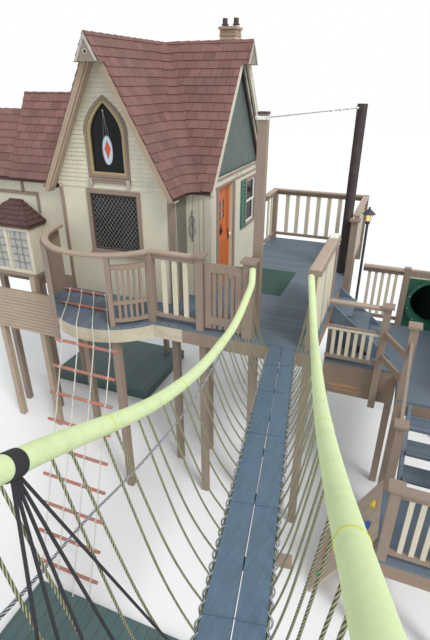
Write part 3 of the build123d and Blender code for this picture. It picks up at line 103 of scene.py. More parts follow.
class Wiring:
    """Adds the nodes of one tree, and links or sets their inputs."""

    def __init__(self, tree: Tree) -> None:
        """Takes up a tree."""
        self.tree = tree
        self.nodes = tree.nodes

    @classmethod
    def group(cls, name: str, inputs: dict[str, float | tuple], outputs: dict[str, int]) -> Wiring:
        """Starts a node group with named sockets.

        Args:
            name: The group's name.
            inputs: The default of each input.
            outputs: The number of values of each output.

        Returns:
            The wiring of the group.
        """
        tree = bpy.data.node_groups.new(name, "ShaderNodeTree")
        for label, value in inputs.items():
            size = len(value) if isinstance(value, tuple) else 1
            socket = tree.interface.new_socket(name=label, in_out="INPUT", socket_type=SOCKETS[size])
            socket.default_value = value
        for label, size in outputs.items():
            tree.interface.new_socket(name=label, in_out="OUTPUT", socket_type=SOCKETS[size])
        tree.nodes.new("NodeGroupInput")
        tree.nodes.new("NodeGroupOutput")
        return cls(tree)

    @classmethod
    def material(cls, name: str) -> tuple[bpy.types.Material, Wiring]:
        """Starts a node material.

        Args:
            name: The material's name.

        Returns:
            The material and its wiring.
        """
        material = bpy.data.materials.new(name)
        material.use_nodes = True
        return material, cls(material.node_tree)

    @property
    def shader(self) -> bpy.types.Node:
        """The material's main shader."""
        return self.nodes["Principled BSDF"]

    @property
    def given(self) -> bpy.types.bpy_prop_collection:
        """The sockets that a group is given."""
        return self.nodes["Group Input"].outputs

    def feed(self, node: bpy.types.Node, inputs: Inputs) -> None:
        """Links or sets inputs of a node.

        Args:
            node: The node.
            inputs: A value or a socket for each input.
        """
        for key, value in inputs.items():
            if isinstance(value, Socket):
                self.tree.links.new(value, node.inputs[key])
            else:
                node.inputs[key].default_value = value

    def add(self, kind: str, inputs: Inputs | None = None, **settings: object) -> bpy.types.Node:
        """Adds a node.

        Args:
            kind: The node's type, without the words that all shader nodes share.
            inputs: A value or a socket for each input.
            **settings: The node's own settings.

        Returns:
            The node.
        """
        node = self.nodes.new(f"ShaderNode{kind}")
        for name, value in settings.items():
            setattr(node, name, value)
        self.feed(node, inputs or {})
        return node

    def shared(self, tree: Tree, inputs: Inputs) -> bpy.types.Node:
        """Adds a shared group."""
        return self.add("Group", inputs, node_tree=tree)

    def place(self) -> Socket:
        """Gives the place on the object."""
        return self.add("TexCoord").outputs["Object"]

    def math(self, operation: str, *inputs: Value) -> Socket:
        """Works out a number."""
        return self.add("Math", dict(enumerate(inputs)), operation=operation).outputs[0]

    def vector(self, operation: str, *inputs: Value) -> Socket:
        """Works out a vector."""
        return self.add("VectorMath", dict(enumerate(inputs)), operation=operation).outputs[0]

    def scale(self, colour: Value, factor: Value) -> Socket:
        """Multiplies a colour by a number."""
        return self.add("VectorMath", {0: colour, "Scale": factor}, operation="SCALE").outputs[0]

    def mix(self, factor: Value, first: Value, second: Value) -> Socket:
        """Blends two colours."""
        inputs = {"Factor": factor, "A": first, "B": second}
        return self.add("Mix", inputs, data_type="RGBA").outputs["Result"]

    def ramp(self, factor: Value, *stops: tuple[float, Colour]) -> Socket:
        """Colours a number.

        Args:
            factor: The number's socket.
            *stops: The place and the colour of both ends.

        Returns:
            The socket of the colour.
        """
        ramp = self.add("ValToRGB", {"Fac": factor})
        for element, (position, colour) in zip(ramp.color_ramp.elements, stops):
            element.position = position
            element.color = (*colour, 1.0)
        return ramp.outputs["Color"]

    def bump(self, height: Value, strength: float, depth: float) -> Socket:
        """Makes relief out of a height."""
        inputs = {"Height": height, "Strength": strength, "Distance": depth}
        return self.add("Bump", inputs).outputs["Normal"]

    def surface(self, weather: bpy.types.Node, height: Value, strength: float, depth: float) -> None:
        """Gives the shader a weathered colour, its roughness and relief.

        Args:
            weather: The weather group's node.
            height: The relief's height.
            strength: How strong the relief is.
            depth: How deep it is, in metres.
        """
        colour, rough = weather.outputs["Color"], weather.outputs["Roughness"]
        normal = self.bump(height, strength, depth)
        self.feed(self.shader, {"Base Color": colour, "Roughness": rough, "Normal": normal})


class Groups:
    """Shader node groups, each built once and shared by the finishes."""

    @staticmethod
    @cache
    def weather() -> Tree:
        """Gives the group that mottles and soils a paint.

        Returns:
            A group from a colour to a weathered colour, a roughness and a height.
        """
        inputs = {
            "Color": (0.5, 0.5, 0.5, 1.0),
            "Dirt Color": (0.12, 0.1, 0.08, 1.0),
            "Dirt": 0.3,
            "Fade": 0.15,
            "Scale": 3.0,
            "Roughness": 0.7,
        }
        wires = Wiring.group("Weather", inputs, {"Color": 4, "Roughness": 1, "Height": 1})
        given, place = wires.given, wires.place()
        noise = {"Vector": place, "Scale": given["Scale"], "Detail": 6.0, "Roughness": 0.65}
        broad = wires.add("TexNoise", noise).outputs["Fac"]
        fine = wires.add("TexNoise", {"Vector": place, "Scale": 45.0, "Detail": 4.0}).outputs["Fac"]
        patch = wires.add("MapRange", {"Value": broad, "From Min": 0.48, "From Max": 0.72})
        soil = wires.math("MULTIPLY", patch.outputs["Result"], given["Dirt"])
        fade = wires.math("MULTIPLY_ADD", fine, given["Fade"], 0.93)
        soiled = wires.mix(soil, wires.scale(given["Color"], fade), given["Dirt Color"])
        rough = wires.math("MULTIPLY_ADD", broad, 0.2, given["Roughness"])
        wires.feed(wires.nodes["Group Output"], {"Color": soiled, "Roughness": rough, "Height": fine})
        return wires.tree

    @staticmethod
    @cache
    def grain() -> Tree:
        """Gives the group that draws long wood grain along one axis.

        Returns:
            A group from a stretch vector to a streak mask.
        """
        wires = Wiring.group("Wood grain", {"Stretch": (2.0, 40.0, 40.0)}, {"Streak": 1})
        drawn = wires.vector("MULTIPLY", wires.place(), wires.given["Stretch"])
        noise = {"Vector": drawn, "Scale": 1.0, "Detail": 5.0, "Distortion": 0.6}
        streak = wires.add("TexNoise", noise).outputs["Fac"]
        wires.feed(wires.nodes["Group Output"], {"Streak": streak})
        return wires.tree

    @staticmethod
    @cache
    def seams() -> Tree:
        """Gives the group that cuts a surface into boards or courses along one direction.

        Returns:
            A group from a direction and a board width to a seam mask and a shade for each board.
        """
        inputs = {"Across": (1.0, 0.0, 0.0), "Width": 0.14, "Gap": 0.05}
        wires = Wiring.group("Board seams", inputs, {"Seam": 1, "Shade": 1})
        given = wires.given
        ends = {0: wires.place(), 1: given["Across"]}
        along = wires.add("VectorMath", ends, operation="DOT_PRODUCT").outputs["Value"]
        count = wires.math("DIVIDE", along, given["Width"])
        seam = wires.math("LESS_THAN", wires.math("FRACT", count), given["Gap"])
        board = wires.math("FLOOR", count)
        dice = wires.add("TexWhiteNoise", {"W": board}, noise_dimensions="1D")
        wires.feed(wires.nodes["Group Output"], {"Seam": seam, "Shade": dice.outputs["Value"]})
        return wires.tree

    @staticmethod
    @cache
    def region() -> Tree:
        """Gives the group that marks what lies between two corners.

        Returns:
            A group from a low and a high corner to a mask.
        """
        wires = Wiring.group("Region", {"Low": (0.0, 0.0, 0.0), "High": (1.0, 1.0, 1.0)}, {"Mask": 1})
        place = wires.place()
        above = wires.vector("SUBTRACT", place, wires.given["Low"])
        below = wires.vector("SUBTRACT", wires.given["High"], place)
        least = wires.vector("MINIMUM", above, below)
        x, y, z = wires.add("SeparateXYZ", {0: least}).outputs
        inside = wires.math("GREATER_THAN", wires.math("MINIMUM", wires.math("MINIMUM", x, y), z), 0.0)
        wires.feed(wires.nodes["Group Output"], {"Mask": inside})
        return wires.tree


# Finishes


@dataclass(frozen=True)
class Paint:
    """A weathered paint or stain on timber, with grain, board seams and up to two more tones."""

    name: str
    colour: Colour
    dirt_colour: Colour = (0.16, 0.13, 0.1)
    dirt: float = 0.25
    fade: float = 0.16
    scale: float = 2.2
    roughness: float = 0.55
    bump: float = 0.25
    bump_depth: float = 0.004
    grain: Axis = Axis.Z
    grain_depth: float = 0.16
    grain_along: float = 2.2
    grain_across: float = 38.0
    seam_across: Axis | None = None
    seam_width: float = 0.14
    seam_gap: float = 0.045
    seam_dark: float = 0.75
    seam_depth: float = 2.0
    shade_spread: float = 0.18
    second: Colour | None = None
    regions: tuple[Region, ...] = ()
    third: Colour | None = None
    third_regions: tuple[Region, ...] = ()

    @staticmethod
    def _tone(wires: Wiring, below: Value, colour: Colour, regions: Sequence[Region]) -> Socket:
        """Mixes a colour in where one of the regions lies.

        Args:
            wires: The material's wiring.
            below: The colour outside the regions, or its socket.
            colour: The colour inside them.
            regions: The low and high corner of each region.

        Returns:
            The socket of the mixed colour.
        """
        boxes = [wires.shared(Groups.region(), {"Low": low, "High": high}) for low, high in regions]
        mask = boxes[0].outputs["Mask"]
        for box in boxes[1:]:
            mask = wires.math("MAXIMUM", mask, box.outputs["Mask"])
        first = below if isinstance(below, Socket) else (*below, 1.0)
        return wires.mix(mask, first, (*colour, 1.0))

    def make(self) -> bpy.types.Material:
        """Builds the material.

        Returns:
            The node material of this paint.
        """
        material, wires = Wiring.material(self.name)
        soil = {"Dirt Color": (*self.dirt_colour, 1.0), "Dirt": self.dirt, "Fade": self.fade}
        weather = wires.shared(Groups.weather(), {**soil, "Scale": self.scale, "Roughness": self.roughness})
        stretch = self.grain.stretch(self.grain_along, self.grain_across)
        streak = wires.shared(Groups.grain(), {"Stretch": stretch}).outputs["Streak"]
        factor = wires.math("MULTIPLY_ADD", streak, self.grain_depth * 2.0, 1.0 - self.grain_depth)
        height = weather.outputs["Height"]
        if self.seam_across is not None:
            across = self.seam_across.stretch(1.0, 0.0)
            inputs = {"Across": across, "Width": self.seam_width, "Gap": self.seam_gap}
            seams = wires.shared(Groups.seams(), inputs).outputs
            spread = self.shade_spread
            shade = wires.math("MULTIPLY_ADD", seams["Shade"], spread, 1.0 - spread / 2.0)
            dark = wires.math("MULTIPLY_ADD", seams["Seam"], -self.seam_dark, 1.0)
            factor = wires.math("MULTIPLY", wires.math("MULTIPLY", factor, shade), dark)
            height = wires.math("MULTIPLY_ADD", seams["Seam"], -self.seam_depth, height)
        tone: Value = self.colour
        for colour, regions in ((self.second, self.regions), (self.third, self.third_regions)):
            if colour is not None:
                tone = self._tone(wires, tone, colour, regions)
        wires.feed(weather, {"Color": wires.scale(tone, factor)})
        wires.surface(weather, height, self.bump, self.bump_depth)
        return material


@dataclass(frozen=True)
class Shingle:
    """Granular roof shingle whose tabs differ in shade through the mesh's own attribute."""

    name: str
    colour: Colour
    spread: float = 0.35
    roughness: float = 0.8
    dirt_colour: Colour = (0.13, 0.1, 0.1)

    def make(self) -> bpy.types.Material:
        """Builds the material.

        Returns:
            The node material of the shingles.
        """
        material, wires = Wiring.material(self.name)
        shade = wires.add("Attribute", attribute_name="Shade").outputs["Fac"]
        grit = wires.add("TexNoise", {"Vector": wires.place(), "Scale": 160.0, "Detail": 2.0})
        shares = (1.0 - self.spread, 1.0 + self.spread)
        low, high = (tuple(c * share for c in self.colour) for share in shares)
        inputs = {
            "Color": wires.ramp(shade, (0.0, low), (1.0, high)),
            "Dirt Color": (*self.dirt_colour, 1.0),
            "Dirt": 0.35,
            "Fade": 0.3,
            "Scale": 1.3,
            "Roughness": self.roughness,
        }
        weather = wires.shared(Groups.weather(), inputs)
        wires.surface(weather, grit.outputs["Fac"], strength=0.5, depth=0.003)
        return material


@dataclass(frozen=True)
class Glass:
    """Window glass over a dim room."""

    name: str
    colour: Colour = (0.35, 0.42, 0.44)
    roughness: float = 0.08
    alpha: float = 0.55
    shine: float = 0.5

    def make(self) -> bpy.types.Material:
        """Builds the material.

        Returns:
            A slightly wavy, partly see-through glass.
        """
        material, wires = Wiring.material(self.name)
        wave = wires.add("TexNoise", {"Vector": wires.place(), "Scale": 4.0}).outputs["Fac"]
        inputs = {
            "Base Color": (*self.colour, 1.0),
            "Roughness": self.roughness,
            "Alpha": self.alpha,
            "Specular IOR Level": self.shine,
            "Normal": wires.bump(wave, strength=0.1, depth=0.02),
        }
        wires.feed(wires.shader, inputs)
        return material


@dataclass(frozen=True)
class Moulded:
    """Plastic, foam, bare metal or rope: one colour with mottling of its own scale."""

    name: str
    colour: Colour
    roughness: float = 0.4
    metallic: float = 0.0
    dirt: float = 0.2
    dirt_share: float = 0.45
    scale: float = 4.0
    bump: float = 0.1
    bump_depth: float = 0.003
    twist: bool = False
    lay_angle: float = 38.0
    lay_scale: Point = (26.0, 2.0, 1.0)
    lay_bump: float = 0.8
    # Updates the view layer.
    glow: float = 0.0
    second: Colour | None = None

    def make(self) -> bpy.types.Material:
        """Builds the material.

        Returns:
            The node material of this finish.
        """
        material, wires = Wiring.material(self.name)
        colour = (*self.colour, 1.0)
        inputs = {
            "Color": colour,
            "Dirt Color": (*(c * self.dirt_share for c in self.colour), 1.0),
            "Dirt": self.dirt,
            "Scale": self.scale,
            "Roughness": self.roughness,
        }
        weather = wires.shared(Groups.weather(), inputs)
        wires.feed(wires.shader, {"Metallic": self.metallic})
        height, strength = weather.outputs["Height"], self.bump
        if self.twist:
            uv = wires.add("UVMap", uv_map="UVMap").outputs["UV"]
            turn = (0.0, 0.0, math.radians(self.lay_angle))
            lay = wires.add("Mapping", {"Vector": uv, "Rotation": turn, "Scale": self.lay_scale})
            wave = wires.add("TexWave", {"Vector": lay.outputs["Vector"], "Scale": 1.0})
            height, strength = wave.outputs["Fac"], self.lay_bump
            if self.second is not None:
                strand = wires.ramp(height, (0.45, self.colour), (0.65, self.second))
                wires.feed(weather, {"Color": strand})
        wires.surface(weather, height, strength, self.bump_depth)
        if self.glow:
            wires.feed(wires.shader, {"Emission Color": colour, "Emission Strength": self.glow})
        return material


FAR = 99.0
FAR_LOW: Point = (-FAR, -FAR, -FAR)
FAR_HIGH: Point = (FAR, FAR, FAR)


def above(z: float) -> Region:
    """Gives the region over a height."""
    return (-FAR, -FAR, z), FAR_HIGH


def below(z: float) -> Region:
    """Gives the region under a height."""
    return FAR_LOW, (FAR, FAR, z)


TAN: Colour = (0.265, 0.2, 0.152)
# Painted highlight: the top faces of the rail and parapet caps are painted in this lighter tan where the sky
# lights them.
PAINTED_HIGHLIGHT_TAN: Colour = (0.4, 0.31, 0.24)
FRAMING: Colour = (0.27, 0.2, 0.15)
RIM: Colour = (0.25, 0.18, 0.13)
CREAM: Colour = (0.6, 0.55, 0.42)
CREAM_TRIM: Colour = (0.6, 0.55, 0.44)
WALL: Colour = (0.64, 0.6, 0.47)
BLUE: Colour = (0.105, 0.14, 0.18)
GREY_GRAIN = {"dirt": 0.5, "grain_depth": 0.4}
DECKING = {"dirt": 0.25, "fade": 0.3}
LENGTHWAYS = {**DECKING, "grain": Axis.Y, "seam_across": Axis.X}
CROSSWAYS = {**DECKING, "grain": Axis.X, "seam_across": Axis.Y}
LAPS = {"seam_across": Axis.Z, "seam_width": 0.0555, "seam_gap": 0.03, "shade_spread": 0.05}

FINISHES = (
    Paint("tan timber", TAN, dirt=0.2),
    # The top of the balcony rail's cap is painted lighter: a painted highlight.
    Paint("balcony rail", TAN, dirt=0.2, grain=Axis.X, second=PAINTED_HIGHLIGHT_TAN, regions=(above(3.935),)),
    Paint(
        "deck rail",
        CREAM,
        dirt=0.15,
        second=TAN,
        regions=(below(3.091), above(3.848)),
        # The tan rails are real two-tone paint. The lighter top of the cap is a painted highlight.
        third=PAINTED_HIGHLIGHT_TAN,
        third_regions=(above(3.935),),
    ),
    Paint(
        "low rail",
        CREAM,
        dirt=0.15,
        second=TAN,
        regions=(
            above(3.035),
            ((-FAR, 0.3, 2.735), (1.6, 1.0, FAR)),
            ((-FAR, 0.3, -FAR), (FAR, FAR, 2.291)),
            ((-FAR, -FAR, 2.24), (FAR, 0.3, FAR)),
            (FAR_LOW, (FAR, 0.3, 1.491)),
        ),
        # The tan cap rails are real two-tone paint. The lighter top of the cap is a painted highlight.
        third=PAINTED_HIGHLIGHT_TAN,
        third_regions=(above(3.125),),
    ),
    Paint(
        "parapet boards",
        CREAM,
        dirt=0.12,
        second=TAN,
        regions=(above(3.911), (FAR_LOW, (FAR, -0.15, FAR)), ((-FAR, 0.44, -FAR), (FAR, 0.5, FAR))),
        # The tan cap is real two-tone paint. Its lighter top is a painted highlight.
        third=PAINTED_HIGHLIGHT_TAN,
        third_regions=(above(3.98),),
    ),
    Paint("cream trim", CREAM_TRIM, dirt=0.15),
    Paint("cream wall", WALL, dirt=0.1, grain_depth=0.04, scale=1.2),
    Paint("cream board", WALL, dirt=0.12, grain=Axis.X, grain_depth=0.05),
    Paint("lapped board", WALL, dirt=0.15, **LAPS),
    Paint(
        "return boards", WALL, dirt=0.12, grain_depth=0.05, seam_across=Axis.X, seam_width=0.1, seam_gap=0.06
    ),
    Paint("white trim", (0.78, 0.77, 0.72), dirt=0.1),
    Paint("blue deck", BLUE, **LENGTHWAYS),
    Paint("blue deck across", BLUE, **CROSSWAYS),
    Paint("landing boards", BLUE, **DECKING, grain=Axis.X, second=RIM, regions=(below(2.112),)),
    Paint("platform boards", BLUE, **DECKING, grain=Axis.Y, second=RIM, regions=(below(1.312),)),
    Paint("teal deck", (0.06, 0.105, 0.105), **LENGTHWAYS),
    Paint("blue bridge", (0.085, 0.135, 0.19), dirt=0.12, grain=Axis.Y, fade=0.35, grain_depth=0.25),
    Paint("cabin floor", (0.3, 0.21, 0.13), grain=Axis.Y, seam_across=Axis.X, seam_width=0.11),
    Paint("framing", FRAMING, dirt=0.4, grain=Axis.Y),
    Paint(
        "front rim",
        FRAMING,
        dirt=0.3,
        grain=Axis.X,
        second=(0.52, 0.46, 0.34),
        regions=(((-4.0, -1.2, 2.7), (-0.63, 0.32, 3.0)),),
    ),
    Paint(
        "gable panel",
        (0.036, 0.068, 0.058),
        dirt_colour=(0.05, 0.035, 0.03),
        dirt=0.75,
        scale=6.0,
        grain_depth=0.6,
        roughness=0.3,
        second=CREAM_TRIM,
        regions=(((-0.945, -FAR, 4.0), FAR_HIGH),),
    ),
    Paint("prow grey", (0.27, 0.22, 0.17), scale=5.0, **GREY_GRAIN),
    Paint("weathered grey", (0.42, 0.39, 0.34), scale=6.0, **GREY_GRAIN),
    Paint("chimney tan", (0.36, 0.25, 0.18), dirt=0.3, grain=Axis.X, grain_depth=0.2),
    Paint("chimney light", (0.5, 0.4, 0.29), dirt=0.3, grain=Axis.X, grain_depth=0.2),
    Paint("barge tan", (0.36, 0.26, 0.19)),
    Paint("barge light", (0.46, 0.36, 0.27)),
    Paint("brass lip", (0.38, 0.3, 0.15), dirt=0.3),
    Paint("door orange", (0.56, 0.13, 0.025), dirt=0.2, grain_depth=0.22, roughness=0.35),
    Paint("shutter green", (0.035, 0.13, 0.09), dirt=0.2, roughness=0.4),
    Paint("rung red", (0.4, 0.15, 0.11), dirt=0.3, grain=Axis.X, grain_depth=0.3),
    Paint("pole brown", (0.054, 0.04, 0.04), dirt=0.5, grain_depth=0.5, roughness=0.8),
    Paint("worn timber", (0.5, 0.24, 0.11), scale=8.0, grain=Axis.X, **GREY_GRAIN),
    Paint("skirt boards", (0.4, 0.31, 0.23), dirt=0.3, grain=Axis.X),
    Paint("ramp boards", (0.5, 0.4, 0.3), grain=Axis.Y, seam_across=Axis.Y, seam_width=0.19, seam_gap=0.03),
    Paint("brick course", (0.42, 0.28, 0.21), dirt=0.35, grain=Axis.X, grain_depth=0.08),
    Shingle("roof shingle", (0.18, 0.09, 0.075), spread=0.22),
    Shingle("bay shingle", (0.085, 0.04, 0.035), spread=0.2),
    Shingle("roof base", (0.1, 0.045, 0.035)),
    Glass("window glass"),
    # Near-black, nearly opaque glass: the glass is real, but its dark colour is painted shade of the dim
    # room behind it.
    Glass("glass with painted room shade", (0.012, 0.012, 0.014), roughness=0.15, alpha=0.97, shine=0.15),
    Glass("pale glass", (0.55, 0.68, 0.78), roughness=0.2, alpha=0.9, shine=0.3),
    Glass("red glass", (0.6, 0.09, 0.03), roughness=0.2, alpha=0.95, shine=0.3),
    Glass("leaded glass", (0.5, 0.55, 0.55), alpha=0.35),
    Moulded("foam sleeve", (0.63, 0.74, 0.4), roughness=0.65, scale=7.0),
    Moulded("foam band", (0.55, 0.6, 0.12), roughness=0.5),
    Moulded("twisted rope", (0.085, 0.085, 0.045), roughness=0.9, twist=True, second=(0.42, 0.42, 0.27)),
    Moulded("lashing", (0.42, 0.44, 0.48), roughness=0.8, twist=True, second=(0.16, 0.17, 0.2)),
    Moulded("lashed cable", (0.02, 0.02, 0.025), roughness=0.5, twist=True, second=(0.55, 0.57, 0.62)),
    Moulded("deck mat", (0.06, 0.115, 0.095), roughness=0.9, dirt=0.4, scale=20.0),
    Moulded("slate metal", (0.06, 0.065, 0.08), roughness=0.45, metallic=0.4),
    Moulded("pale rope", (0.62, 0.59, 0.52), roughness=0.9, dirt=0.35, twist=True),
    Moulded("black rope", (0.03, 0.03, 0.035), roughness=0.8, twist=True),
    Moulded("dark metal", (0.05, 0.045, 0.04), roughness=0.45, metallic=0.7),
    Moulded("steel cable", (0.35, 0.37, 0.38), roughness=0.35, metallic=0.9),
    Moulded("slide green", (0.02, 0.1, 0.06), roughness=0.28, dirt=0.15),
    Moulded("white knob", (0.8, 0.79, 0.76), roughness=0.2, dirt=0.1),
    Moulded("warm bulb", (1.0, 0.5, 0.14), glow=1.3),
    Moulded("lead came", (0.34, 0.33, 0.3), roughness=0.5, metallic=0.3),
    Moulded("dark clay", (0.07, 0.055, 0.05), roughness=0.8),
    Moulded("hold yellow", (0.75, 0.55, 0.05), roughness=0.5),
    Moulded("hold green", (0.04, 0.4, 0.12), roughness=0.5),
    Moulded("hold blue", (0.04, 0.15, 0.5), roughness=0.5),
    Moulded("hold red", (0.5, 0.06, 0.04), roughness=0.5),
)


@cache
def material_of(name: str) -> bpy.types.Material:
    """Gives a finish's material, made once."""
    return next(finish for finish in FINISHES if finish.name == name).make()


# Hand tools that every sub-assembly shares


def added(name: str, data: bpy.types.ID) -> Object:
    """Adds an object to the scene.

    Args:
        name: The object's name.
        data: Its mesh, curve, light or camera.

    Returns:
        The object.
    """
    obj = bpy.data.objects.new(name, data)
    bpy.context.collection.objects.link(obj)
    return obj


def alone(obj: Object) -> None:
    """Selects one object and makes it active.

    Args:
        obj: The object to work on.
    """
    bpy.ops.object.select_all(action="DESELECT")
    obj.select_set(True)
    bpy.context.view_layer.objects.active = obj


@contextmanager
def editing() -> Iterator[None]:
    """Opens the active mesh in edit mode with all of it selected."""
    bpy.ops.object.mode_set(mode="EDIT")
    bpy.ops.mesh.select_all(action="SELECT")
    yield
    bpy.ops.object.mode_set(mode="OBJECT")


def ease(width: float) -> None:
    """Eases the selected edges in edit mode."""
    if width > 0.0:
        bpy.ops.mesh.bevel(offset=width, segments=1, affect="EDGES")


def block(name: str, low: Point, high: Point, bevel: float = 0.003) -> Object:
    """Adds a square-cut board between two corners and eases its edges.

    Args:
        name: The object's name.
        low: Its lowest corner.
        high: Its highest corner.
        bevel: The width of the eased edges, or 0 for none.

    Returns:
        The board, with its place in its mesh.
    """
    bpy.ops.object.select_all(action="DESELECT")
    middle = [(a + b) / 2.0 for a, b in zip(low, high)]
    size = [b - a for a, b in zip(low, high)]
    bpy.ops.mesh.primitive_cube_add(size=1.0, location=middle)
    obj = bpy.context.object
    obj.name = name
    with editing():
        bpy.ops.transform.resize(value=size, center_override=middle)
        ease(bevel)
    bpy.ops.object.transform_apply(location=True, rotation=True, scale=True)
    return obj


def disc(
    name: str,
    radius: float,
    depth: float,
    sides: int = 16,
    bevel: float = 0.002,
    at: Sequence[float] = (0.0, 0.0, 0.0),
    turn: Matrix = Matrix.Identity(4),
) -> Object:
    """Adds a short round, first along the Z axis, and eases its rims.

    Args:
        name: The object's name.
        radius: Its radius.
        depth: Its length.
        sides: The number of its sides.
        bevel: The width of the eased rims.
        at: Its middle.
        turn: Its rotation.

    Returns:
        The round.
    """
    bpy.ops.object.select_all(action="DESELECT")
    bpy.ops.mesh.primitive_cylinder_add(vertices=sides, radius=radius, depth=depth)
    obj = bpy.context.object
    obj.name = name
    bpy.ops.object.mode_set(mode="EDIT")
    bpy.ops.mesh.select_all(action="DESELECT")
    bpy.ops.object.mode_set(mode="OBJECT")
    for face in obj.data.polygons:
        face.select = abs(face.normal.z) > 0.9
    bpy.ops.object.mode_set(mode="EDIT")
    bpy.ops.mesh.select_mode(type="FACE")
    ease(bevel)
    bpy.ops.object.mode_set(mode="OBJECT")
    obj.data.transform(Matrix.Translation(at) @ turn)
    return obj


def facing(run: Vector) -> Matrix:
    """Gives the rotation that turns a round's axis along a direction."""
    return run.to_track_quat("Z", "Y").to_matrix().to_4x4()


def sheet(name: str, outline: Sequence[Point], depth: Point, bevel: float = 0.0) -> Object:
    """Makes a flat outline into a board by extruding its face.

    Args:
        name: The object's name.
        outline: The corners in order.
        depth: The extrusion.
        bevel: The width of the eased edges, or 0 for none.

    Returns:
        The board.
    """
    mesh = bpy.data.meshes.new(name)
    mesh.from_pydata([Vector(p) for p in outline], [], [list(range(len(outline)))])
    obj = added(name, mesh)
    alone(obj)
    with editing():
        bpy.ops.mesh.extrude_region_move(TRANSFORM_OT_translate={"value": depth})
        bpy.ops.mesh.select_all(action="SELECT")
        bpy.ops.mesh.normals_make_consistent(inside=False)
        ease(bevel)
    return obj


def curve(
    name: str, points: Sequence[Point], order: int, resolution: int, cyclic: bool = False
) -> Object:
    """Draws a spline along control points.

    Args:
        name: The object's name.
        points: The control points.
        order: The spline's order; 2 follows the points in straight runs.
        resolution: The number of steps between two points.
        cyclic: Whether it closes on itself.

    Returns:
        The curve.
    """
    data = bpy.data.curves.new(name, "CURVE")
    data.dimensions = "3D"
    spline = data.splines.new("NURBS")
    spline.points.add(len(points) - 1)
    for node, point in zip(spline.points, points):
        node.co = (*point, 1.0)
    spline.order_u = order
    spline.use_endpoint_u = not cyclic
    spline.use_cyclic_u = cyclic
    spline.resolution_u = resolution
    return added(name, data)


def tube(
    name: str, points: Sequence[Point], radius: float, sides: int = 1, cyclic: bool = False, order: int = 3
) -> Object:
    """Draws a round member or rope along points and makes it a mesh with its own UV map.

    Args:
        name: The object's name.
        points: The points that its line follows.
        radius: Its radius.
        sides: The bevel's resolution.
        cyclic: Whether it closes on itself.
        order: The spline's order.

    Returns:
        The member as a mesh.
    """
    obj = curve(name, points, order, 6, cyclic)
    obj.data.bevel_depth = radius
    obj.data.bevel_resolution = sides
    obj.data.use_fill_caps = True
    alone(obj)
    bpy.ops.object.convert(target="MESH")
    bpy.ops.object.shade_smooth()
    return bpy.context.object


def follow(points: Sequence[Point]) -> list[Vector]:
    """Reads the line that a smooth spline draws along control points.

    Args:
        points: The control points.

    Returns:
        The points of the line.
    """
    obj = curve("route", points, 3, 12)
    mesh = bpy.data.meshes.new_from_object(obj)
    line = [vertex.co.copy() for vertex in mesh.vertices]
    bpy.data.objects.remove(obj, do_unlink=True)
    bpy.data.meshes.remove(mesh)
    return line


def repeat(obj: Object, count: int, step: Point) -> Object:
    """Repeats a piece in a row with an applied array.

    Args:
        obj: The piece.
        count: How many there are.
        step: The offset from one to the next.

    Returns:
        The same object.
    """
    alone(obj)
    array = obj.modifiers.new("Row", "ARRAY")
    array.use_relative_offset = False
    array.use_constant_offset = True
    array.constant_offset_displace = step
    array.count = count
    bpy.ops.object.modifier_apply(modifier=array.name)
    return obj


def join(name: str, pieces: Sequence[Object]) -> Object:
    """Joins pieces into one object.

    Args:
        name: The name of the whole.
        pieces: The objects to join.

    Returns:
        The joined object.
    """
    bpy.ops.object.select_all(action="DESELECT")
    for piece in pieces:
        piece.select_set(True)
    bpy.context.view_layer.objects.active = pieces[0]
    if len(pieces) > 1:
        bpy.ops.object.join()
    joined = bpy.context.view_layer.objects.active
    joined.name = name
    return joined


def trim(obj: Object, point: Point, normal: Point) -> None:
    """Cuts a piece at a plane, drops the side that the normal points to and closes the cut.

    Args:
        obj: The piece.
        point: A point of the plane.
        normal: The direction of the side that goes.
    """
    alone(obj)
    with editing():
        bpy.ops.mesh.bisect(plane_co=point, plane_no=normal, use_fill=True, clear_outer=True)


def carve(obj: Object, cutter: Object) -> Object:
    """Cuts one piece out of another with an applied boolean and drops the cutter.

    Args:
        obj: The piece to cut.
        cutter: The piece to take away.

    Returns:
        The cut object.
    """
    alone(obj)
    cut = obj.modifiers.new("Cut", "BOOLEAN")
    cut.operation = "DIFFERENCE"
    cut.solver = "EXACT"
    cut.object = cutter
    bpy.ops.object.modifier_apply(modifier=cut.name)
    bpy.data.objects.remove(cutter, do_unlink=True)
    return obj


def shade(obj: Object, shades: Sequence[float], faces: int) -> None:
    """Gives each repeated piece of a mesh a shade of its own.

    Args:
        obj: The mesh.
        shades: The shades in the order of the pieces.
        faces: The number of faces of a piece.
    """
    last = len(shades) - 1
    values = [shades[min(last, i // faces)] for i in range(len(obj.data.polygons))]
    obj.data.attributes.new("Shade", "FLOAT", "FACE").data.foreach_set("value", values)


def finish(
    obj: Object,
    paint: str,
    slot: str,
    body: str = HOUSE,
    replaces: Sequence[str] = (),
    flat: bool = True,
) -> None:
    """Gives a piece its material and its body.

    Args:
        obj: The piece.
        paint: The name of its finish.
        slot: The record's material slot; not used.
        body: The body that it rides on.
        replaces: The nodes that it stands for.
        flat: Whether its faces stay flat-shaded.
    """
    obj.data.materials.clear()
    obj.data.materials.append(material_of(paint))
    if not flat:
        alone(obj)
        bpy.ops.object.shade_smooth_by_angle(angle=math.radians(35.0))
    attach(obj, body)
    if replaces:
        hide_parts(*replaces)
    LOG.info("%s: %d faces on %s", obj.name, len(obj.data.polygons), body)


def whole(name: str, pieces: Sequence[Object], *looks: str, **settings: object) -> None:
    """Joins pieces and finishes them as one."""
    finish(join(name, pieces), *looks, **settings)


# The frame's own nodes

